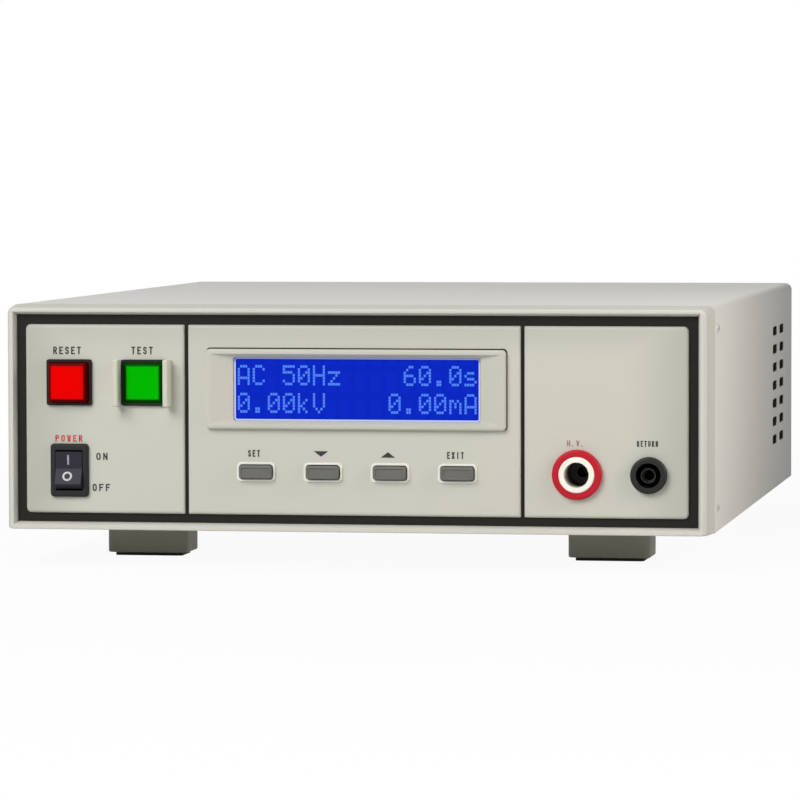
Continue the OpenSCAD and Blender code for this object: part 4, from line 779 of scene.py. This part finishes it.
class TESTER_OT_front(bpy.types.Operator):
    """Finishes of the front plates, display and controls"""

    bl_idname = "tester.front"
    bl_label = "Front panel"

    def execute(self, context):
        look, display = context.scene.tester_front, context.scene.tester_display
        dress(moulded("panel_black", look.panel, 0.62, grain=0.25 * MM, edge_wear_and_highlight=0.06, gloss=0.12), "front_subpanel")
        dress(printed_film("plate_film", look.plate), "overlay_left", "overlay_centre", "overlay_right")
        dress(moulded("frame_plastic", look.frame, 0.5, edge_wear_and_highlight=0.4, gloss=0.2), "lcd_bezel")
        cell = (display.pitch, display.row_pitch)
        dress(lit_glass("lcd_blue", display.glass, "lcd_glass", cell), "lcd_glass")
        dress(moulded("ring_plastic", look.ring, 0.4, edge_wear_and_highlight=0.5), "key_rings")
        key = moulded("key_plastic", look.key, 0.5, grain=0.16 * MM, depth=0.01 * MM, edge_wear_and_highlight=0.16)
        dress(key, "set_key", "down_key", "up_key", "exit_key")
        dress(button_lens("reset_lens", look.reset, "reset_cap"), "reset_cap")
        dress(button_lens("test_lens", look.test, "test_cap"), "test_cap")
        dress(housing_with_painted_glow("reset_black", look.housing, look.reset, "reset_cap"), "reset_housing")
        dress(housing_with_painted_glow("test_black", look.housing, look.test, "test_cap"), "test_housing")
        dress(moulded("guard_plastic", look.guard, 0.4, edge_wear_and_highlight=0.2), "test_guard")
        dress(moulded("switch_black", look.switch, 0.5, edge_wear_and_highlight=0.08, gloss=0.12), "power_frame")
        dress(moulded("rocker_black", look.rocker, 0.42, edge_wear_and_highlight=0.08, gloss=0.14), "power_rocker")
        return {"FINISHED"}


class TESTER_OT_sockets(bpy.types.Operator):
    """Finishes of the two output sockets"""

    bl_idname = "tester.sockets"
    bl_label = "Sockets"

    def execute(self, context):
        look = context.scene.tester_front
        dress(moulded("flange_red", look.flange, 0.4, edge_wear_and_highlight=0.08, gloss=0.16), "hv_flange")
        dress(shaded_bore_insulator("insulator_white", look.insulator, "hv_insulator", 5.0 * MM), "hv_insulator")
        dress(moulded("socket_black", look.socket, 0.45, edge_wear_and_highlight=0.08, gloss=0.2), "return_body")
        dress(brushed_metal("contact_bronze", srgb(66, 60, 52), 0.45, EVEN), "hv_contact", "return_contact")
        dress(brushed_metal("nut_nickel", srgb(182, 182, 180), 0.3, EVEN), "socket_nuts")
        return {"FINISHED"}


class TESTER_OT_inside(bpy.types.Operator):
    """Finishes of the boards, transformers and heat sink inside"""

    bl_idname = "tester.inside"
    bl_label = "Inside"

    def execute(self, context):
        board = circuit_board("board_green", srgb(26, 92, 50))
        dress(board, "lcd_module", "key_board", "amp_board", "main_board")
        dress(brushed_metal("spacer_nickel", srgb(196, 190, 168), 0.3), "front_spacers", "board_standoffs")
        dress(moulded("part_black", srgb(36, 36, 40), 0.45), "board_parts")
        dress(ribbon_cable("ribbon_grey", srgb(142, 146, 152)), "display_ribbon")
        dress(laminated("core_iron", srgb(98, 100, 104)), "hv_core")
        dress(moulded("bobbin_cream", srgb(222, 216, 198), 0.5), "hv_bobbin")
        dress(wound_wire("coil_wire", srgb(208, 164, 66)), "hv_winding")
        dress(brushed_metal("bracket_zinc", srgb(166, 168, 170), 0.38), "hv_bracket", "toroid_plate")
        dress(wound_wire("toroid_wire", srgb(202, 136, 58), "toroid_winding", turns=180), "toroid_winding")
        dress(rubber("toroid_rubber", srgb(34, 34, 34)), "toroid_pads")
        dress(brushed_metal("bolt_steel", srgb(186, 186, 182), 0.32, EVEN), "toroid_bolt")
        dress(brushed_metal("sink_alloy", srgb(164, 166, 170), 0.36, (1.0, 0.03, 1.0)), "heat_sink")
        dress(brushed_metal("terminal_tin", srgb(200, 198, 186), 0.34), "power_terminals")
        return {"FINISHED"}


class TESTER_OT_rear(bpy.types.Operator):
    """Finishes of the fan, inlet, fuse holder, ports and stud at the rear"""

    bl_idname = "tester.rear"
    bl_label = "Rear fittings"

    def execute(self, context):
        dress(moulded("fan_black", srgb(32, 32, 34), 0.45), "fan_frame")
        dress(moulded("rotor_black", srgb(44, 44, 46), 0.42), "fan_rotor")
        dress(brushed_metal("guard_chrome", srgb(208, 208, 208), 0.18, EVEN, 1.2 * MM, 0.1), "fan_guard")
        dress(moulded("inlet_black", srgb(28, 28, 28), 0.42), "iec_inlet")
        dress(brushed_metal("pin_nickel", srgb(210, 206, 192), 0.24), "inlet_pins")
        dress(moulded("fuse_black", srgb(38, 38, 38), 0.38), "fuse_holder", "fuse_cap")
        dress(brushed_metal("port_tin", srgb(184, 184, 182), 0.3, EVEN), "remote_ports")
        dress(brushed_metal("stud_brass", srgb(216, 192, 126), 0.26, EVEN), "ground_stud")
        return {"FINISHED"}


class TESTER_OT_legends(bpy.types.Operator):
    """Printed words and arrows beside the controls"""

    bl_idname = "tester.legends"
    bl_label = "Legends"

    boldest = 0.21  # widest stroke, as a share of a word's height
    # each word's node, offset from that node's middle, width and height, in millimetres
    black = (
        ("RESET", "reset_housing", (-1.0, 12.55), (11.2, 3.05)),
        ("TEST", "test_housing", (-0.7, 12.65), (8.6, 3.05)),
        ("ON", "power_frame", (12.9, 5.5), (4.6, 2.9)),
        ("OFF", "power_frame", (12.6, -6.8), (7.1, 2.9)),
        ("SET", "set_key", (-0.9, 7.2), (4.75, 2.7)),
        ("EXIT", "exit_key", (-0.88, 7.05), (6.6, 2.7)),
        ("RETURN", "return_body", (-0.6, 12.2), (8.2, 2.3)),
    )
    red = (("POWER", "power_frame", (-0.4, 12.55), (11.0, 2.7)),)
    pale = (("H.V.", "hv_flange", (-0.65, 12.15), (6.6, 2.3)),)
    # each arrow's node, offset, half width and signed height, in millimetres
    arrows = (("down_key", (-0.84, 7.2), 2.9, -2.2), ("up_key", (-0.9, 7.05), 2.9, 2.2))

    def execute(self, context):
        look = context.scene.tester_legend
        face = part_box("overlay_centre")[0].y
        back, front = face + look.rise, face - look.rise

        def place(node, offset):
            centre = middle(node)
            return centre.x + offset[0] * MM, centre.z + offset[1] * MM

        ink = screen_ink("legend_ink", look.ink)
        sets = (
            (self.black, ink, look.weight),
            (self.red, screen_ink("legend_red", look.red_ink), look.weight),
            (self.pale, screen_ink("legend_pale", look.pale_ink), look.thin_weight),
        )
        for words, material, weight in sets:
            for text, node, offset, (wide, tall) in words:
                thick = min(weight, self.boldest * tall * MM)
                parts = word(text, place(node, offset), wide * MM, tall * MM, thick, back, front)
                add_piece("legend_" + text.lower().replace(".", ""), parts, material)
        for node, offset, half, tall in self.arrows:
            x, z = place(node, offset)
            tip = tall * MM / 2
            outline = [(x - half * MM, z - tip), (x + half * MM, z - tip), (x, z + tip)]
            add_piece("legend_arrow_" + node.split("_")[0], [prism(outline, back, front)], ink)
        return {"FINISHED"}


class TESTER_OT_readout(bpy.types.Operator):
    """Lit dots of the two display rows and the bright line round the glass"""

    bl_idname = "tester.readout"
    bl_label = "Readout"

    rise = 0.03 * MM  # how far dots and border stand over the glass
    fill = 0.43  # half a dot, as a share of the dot pitch
    inset, turn = 0.4 * MM, 0.9 * MM  # the border's distance from the glass's edge, and its corner radius

    def execute(self, context):
        look = context.scene.tester_display
        low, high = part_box("lcd_glass")
        centre = (low + high) / 2
        rise, turn = self.rise, self.turn
        dots = []
        for row, text in enumerate((look.upper, look.lower)):
            rows = np.array([DOT_ROWS[letter] for letter in text])
            lit = (rows[:, :, None] >> np.arange(4, -1, -1)) & 1
            cell, line, column = np.nonzero(lit)
            across = (cell - (len(text) - 1) / 2) * look.pitch + (column - 2) * look.dot_width
            up = (0.5 - row) * look.row_pitch + (3 - line) * look.dot_height
            dots.append(np.stack([centre.x + across, np.full(len(cell), low.y), centre.z + up], -1))
        half = (look.dot_width * self.fill, rise, look.dot_height * self.fill)
        ink = glow_ink("dot_glow", look.dot, 0.95, high.z)
        add_piece("readout_dots", [boxes(np.concatenate(dots), half)], ink)
        inset = self.inset + look.border / 2 + turn
        x0, x1, z0, z1 = low.x + inset, high.x - inset, low.z + inset, high.z - inset
        loop = []
        for x, z, start in ((x1, z0, -90), (x1, z1, 0), (x0, z1, 90), (x0, z0, 180)):
            loop += bend((x, z), (turn, turn), start, start + 90, 6)
        band = stroke([*loop, loop[0]], look.border, low.y + rise, low.y - rise)
        add_piece("readout_border", [band], glow_ink("border_glow", look.line, 0.92, high.z - 1.2 * MM))
        return {"FINISHED"}


class TESTER_OT_rocker_marks(bpy.types.Operator):
    """Painted bar and ring on the two faces of the power rocker"""

    bl_idname = "tester.rocker_marks"
    bl_label = "Rocker marks"

    tilt = math.radians(12.0)  # slope of either face, and turn of the rocker at rest
    crease = 3.0  # millimetres from the axle out to the line where the faces meet

    def face(self, end, share):
        """Point, up and outward directions on the upper (end = 1) or lower (end = -1) face, share millimetres out,
        as (y, z) on a level rocker and then turned to rest."""
        sine, cosine = math.sin(self.tilt), math.cos(self.tilt)
        point = np.array([-self.crease - share * math.tan(self.tilt), end * share]) * MM

        def rested(y, z):
            return np.array([0.0, y * cosine + z * sine, z * cosine - y * sine])

        return rested(*point), rested(-end * sine, cosine), rested(-cosine, -end * sine)

    def execute(self, context):
        look = context.scene.tester_legend
        axle = next(joint["pos_m"] for joint in frame["joints"] if joint["name"] == "power_rock")
        rise = look.rise
        bar = stroke([(-0.3 * MM, -1.8 * MM), (-0.3 * MM, 1.2 * MM)], 0.78 * MM, rise, -rise)
        ring = stroke(circle((-0.4 * MM, 0.0), 1.57 * MM, 40), 0.74 * MM, rise, -rise)
        marks = (("rocker_bar", bar, look.bar, 1, 3.75), ("rocker_ring", ring, look.mark, -1, 3.1))
        for name, drawn, colour, end, share in marks:
            base, up, out = self.face(end, share)
            part = turned_to(drawn, np.array(axle) + base, (1, 0, 0), up, out)
            add_piece(name, [part], screen_ink(name + "_paint", colour), "power_rocker")
        return {"FINISHED"}


class TESTER_OT_recesses(bpy.types.Operator):
    """Painted shade of the cross recesses in the heads of the case screws, as flat dark crosses"""

    bl_idname = "tester.recesses"
    bl_label = "Screw recesses"

    # places on the cover's sides, the rear panel, the inlet and the fan guard, in millimetres of the frame
    side = tuple((s * 140.6, -154.0, z) for s in (-1, 1) for z in (23.7, 93.9))
    rear = tuple((x, 177.1, 22.4) for x in (-120.0, -42.0, 28.0, 120.0))
    inlet = tuple((x, 179.6, 42.8) for x in (-125.0, -85.0))
    fan = tuple((72.0 + x, 180.5, 59.8 + z) for x in (-25.0, 25.0) for z in (-25.0, 25.0))

    def cross(self, reach, arm):
        """Plus sign: twelve corners round two crossed bars, in millimetres."""
        corners = [(arm, reach), (arm, arm), (reach, arm), (reach, -arm), (arm, -arm), (arm, -reach)]
        corners += [(-x, -z) for x, z in corners]
        return prism(np.array(corners) * MM, 0.05 * MM, -0.02 * MM)

    def execute(self, context):
        # flat dark crosses: painted shade of the screw recesses
        dark = moulded("recess_dark", srgb(24, 24, 24), 0.6, edge_wear_and_highlight=0.0)
        faint = moulded("recess_painted", srgb(150, 147, 141), 0.6, edge_wear_and_highlight=0.0)
        tiny, small, large = self.cross(1.1, 0.26), self.cross(1.55, 0.34), self.cross(2.1, 0.42)
        sides, parts = [], []
        for place in self.side:
            out = math.copysign(1, place[0])
            sides.append(turned_to(tiny, np.array(place) * MM, (0, -out, 0), UP, (out, 0, 0)))
        for places, shape in ((self.rear, small), (self.inlet, small), (self.fan, large)):
            parts += [turned_to(shape, np.array(place) * MM, (-1, 0, 0), UP, (0, 1, 0)) for place in places]
        add_piece("screw_recesses", parts, dark)
        add_piece("side_recesses", sides, faint)
        return {"FINISHED"}


class TESTER_OT_port_faces(bpy.types.Operator):
    """Black insulator with nine contacts in the face of each remote port"""

    bl_idname = "tester.port_faces"
    bl_label = "Port faces"

    # in millimetres: the contacts' pitch and half their row distance, their radius, the port's middle from the end
    pitch, contact, inset = (2.76, 1.42), 0.55, 6.3
    outline = ((-6.9, -3.5), (6.9, -3.5), (7.8, 3.5), (-7.8, 3.5))

    def execute(self, context):
        low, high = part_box("remote_ports")
        x, y = (low.x + high.x) / 2, high.y
        black = moulded("port_black", srgb(26, 26, 27), 0.5, edge_wear_and_highlight=0.05)
        brass = brushed_metal("port_contact", srgb(190, 160, 96), 0.3, EVEN)
        body, pins = [], []
        for z in (low.z + self.inset * MM, high.z - self.inset * MM):
            body.append(prism(np.array(self.outline) * MM + [x, z], y + 0.25 * MM, y - 0.4 * MM))
            for count, side in ((5, 1), (4, -1)):
                for place in (np.arange(count) - (count - 1) / 2) * self.pitch[0] * MM:
                    centre = x + place, z + side * self.pitch[1] * MM
                    pins.append(prism(circle(centre, self.contact * MM, 12)[:-1], y + 0.32 * MM, y))
        add_piece("port_insulators", body, black)
        add_piece("port_contacts", pins, brass)
        return {"FINISHED"}


class TESTER_OT_stage(bpy.types.Operator):
    """Camera, lamps, world and floor"""

    bl_idname = "tester.stage"
    bl_label = "Stage"

    # each lamp's setting of power, place, aim, width and height, colour, and spread in degrees
    lamps = (
        ("key", (-0.55, -1.25, 0.85), (-0.02, -0.15, 0.05), (0.9, 0.9), (1.0, 0.99, 0.97), 180.0),
        ("fill", (0.5, -0.27, 0.25), (0.14, -0.18, 0.05), (0.25, 0.25), (1.0, 0.955, 0.89), 115.0),
        ("top", (-0.45, 0.05, 1.6), (0.0, 0.03, 0.1), (0.9, 0.9), (0.97, 0.99, 1.0), 180.0),
        ("back", (-0.35, 1.2, 0.055), (-0.02, 0.18, 0.055), (0.7, 0.08), (1.0, 0.99, 0.97), 180.0),
    )
    sensor = 36.0  # millimetres
    reach, level = 8.0, -0.0003  # half the floor's width, and its height: a hair under the pads
    lit, far = 0.94, (0.25, 0.9)  # the floor's glow near the part, and where it rises to 1

    def lamp(self, name, power, place, aim, extent, colour, spread):
        """Soft lamp at a place, turned to a point."""
        light = bpy.data.lights.new(name, "AREA")
        light.shape, light.size, light.size_y = "RECTANGLE", *extent
        light.energy, light.color, light.spread = power, colour, math.radians(spread)
        holder = placed(name, light)
        holder.location = place
        holder.rotation_euler = (Vector(aim) - Vector(place)).to_track_quat("-Z", "Y").to_euler()

    def seen(self, paint):
        """1 for rays from the camera, and for those that a gloss or a pane sends on."""
        kinds = "Is Camera Ray", "Is Glossy Ray", "Is Transmission Ray"
        camera, gloss, pane = (paint.node("ShaderNodeLightPath", out=kind) for kind in kinds)
        return camera.larger(gloss).larger(pane)

    def execute(self, context):
        look, scene = context.scene.tester_stage, context.scene
        sine, cosine, level = math.sin(look.yaw), math.cos(look.yaw), math.cos(look.pitch)
        right = Vector((cosine, sine, 0.0))
        ahead = Vector((-sine * level, cosine * level, -math.sin(look.pitch)))
        up = right.cross(ahead)
        tilt = math.cos(look.roll), math.sin(look.roll)
        axis = right * tilt[0] + up * tilt[1], up * tilt[0] - right * tilt[1], -ahead
        camera = bpy.data.cameras.new("camera")
        camera.sensor_width, camera.lens = self.sensor, look.lens
        camera.clip_start, camera.clip_end = 0.05, 60.0
        holder = placed("camera", camera)
        holder.matrix_world = Matrix.Translation(look.eye) @ Matrix(axis).transposed().to_4x4()
        scene.camera = holder
        scene.view_settings.view_transform = "Standard"

        for name, *rest in self.lamps:
            self.lamp(name + "_lamp", getattr(look, name), *rest)

        world = bpy.data.worlds.new("world")
        scene.world = world
        paint = Paint(world)
        soft = paint.node("ShaderNodeBackground", {"Color": WHITE, "Strength": look.sky})
        plain = paint.node("ShaderNodeBackground", {"Color": WHITE, "Strength": 1.0})
        mixed = paint.node("ShaderNodeMixShader", {0: self.seen(paint), 1: soft, 2: plain})
        paint.node("ShaderNodeOutputWorld", {"Surface": mixed})

        mesh = bpy.data.meshes.new("floor")
        signs = (-1, -1), (1, -1), (1, 1), (-1, 1)
        mesh.from_pydata([(x * self.reach, y * self.reach, self.level) for x, y in signs], [], [(0, 1, 2, 3)])
        floor = placed("floor", mesh)
        paint = new_paint("floor_paper")
        matt = paint.node("ShaderNodeBsdfDiffuse", {"Color": look.floor})
        bright = paint.node("ShaderNodeEmission", {"Color": WHITE, "Strength": 1.0})
        across, deep, _ = paint.axes()
        away = ((across * across + deep * deep) ** 0.5).step(*self.far)
        share = self.seen(paint) * (self.lit + away * (1.0 - self.lit))
        mixed = paint.node("ShaderNodeMixShader", {0: share, 1: matt, 2: bright})
        paint.node("ShaderNodeOutputMaterial", {"Surface": mixed})
        mesh.materials.append(paint.owner)
        return {"FINISHED"}


OPERATORS = (
    TESTER_OT_case,
    TESTER_OT_front,
    TESTER_OT_sockets,
    TESTER_OT_inside,
    TESTER_OT_rear,
    TESTER_OT_legends,
    TESTER_OT_readout,
    TESTER_OT_rocker_marks,
    TESTER_OT_recesses,
    TESTER_OT_port_faces,
    TESTER_OT_stage,
)


class TESTER_PT_panel(bpy.types.Panel):
    """The tester's pieces and settings"""

    bl_idname = "TESTER_PT_panel"
    bl_label = "Bench tester"
    bl_space_type = "VIEW_3D"
    bl_region_type = "UI"
    bl_category = "Tester"

    def draw(self, context):
        for group, kind in SETTINGS.items():
            box = self.layout.box()
            box.label(text=kind.__doc__)
            for name in kind.__annotations__:
                box.prop(getattr(context.scene, group), name)
        for operator in OPERATORS:
            self.layout.operator(operator.bl_idname)


CLASSES = (*SETTINGS.values(), *OPERATORS, TESTER_PT_panel)


def register():
    for kind in CLASSES:
        bpy.utils.register_class(kind)
    for group, kind in SETTINGS.items():
        setattr(bpy.types.Scene, group, PointerProperty(type=kind))


def unregister():
    for group in SETTINGS:
        delattr(bpy.types.Scene, group)
    for kind in reversed(CLASSES):
        bpy.utils.unregister_class(kind)


def main():
    register()
    for operator in OPERATORS:
        group, name = operator.bl_idname.split(".")
        getattr(getattr(bpy.ops, group), name)()


if __name__ == "__main__":
    main()
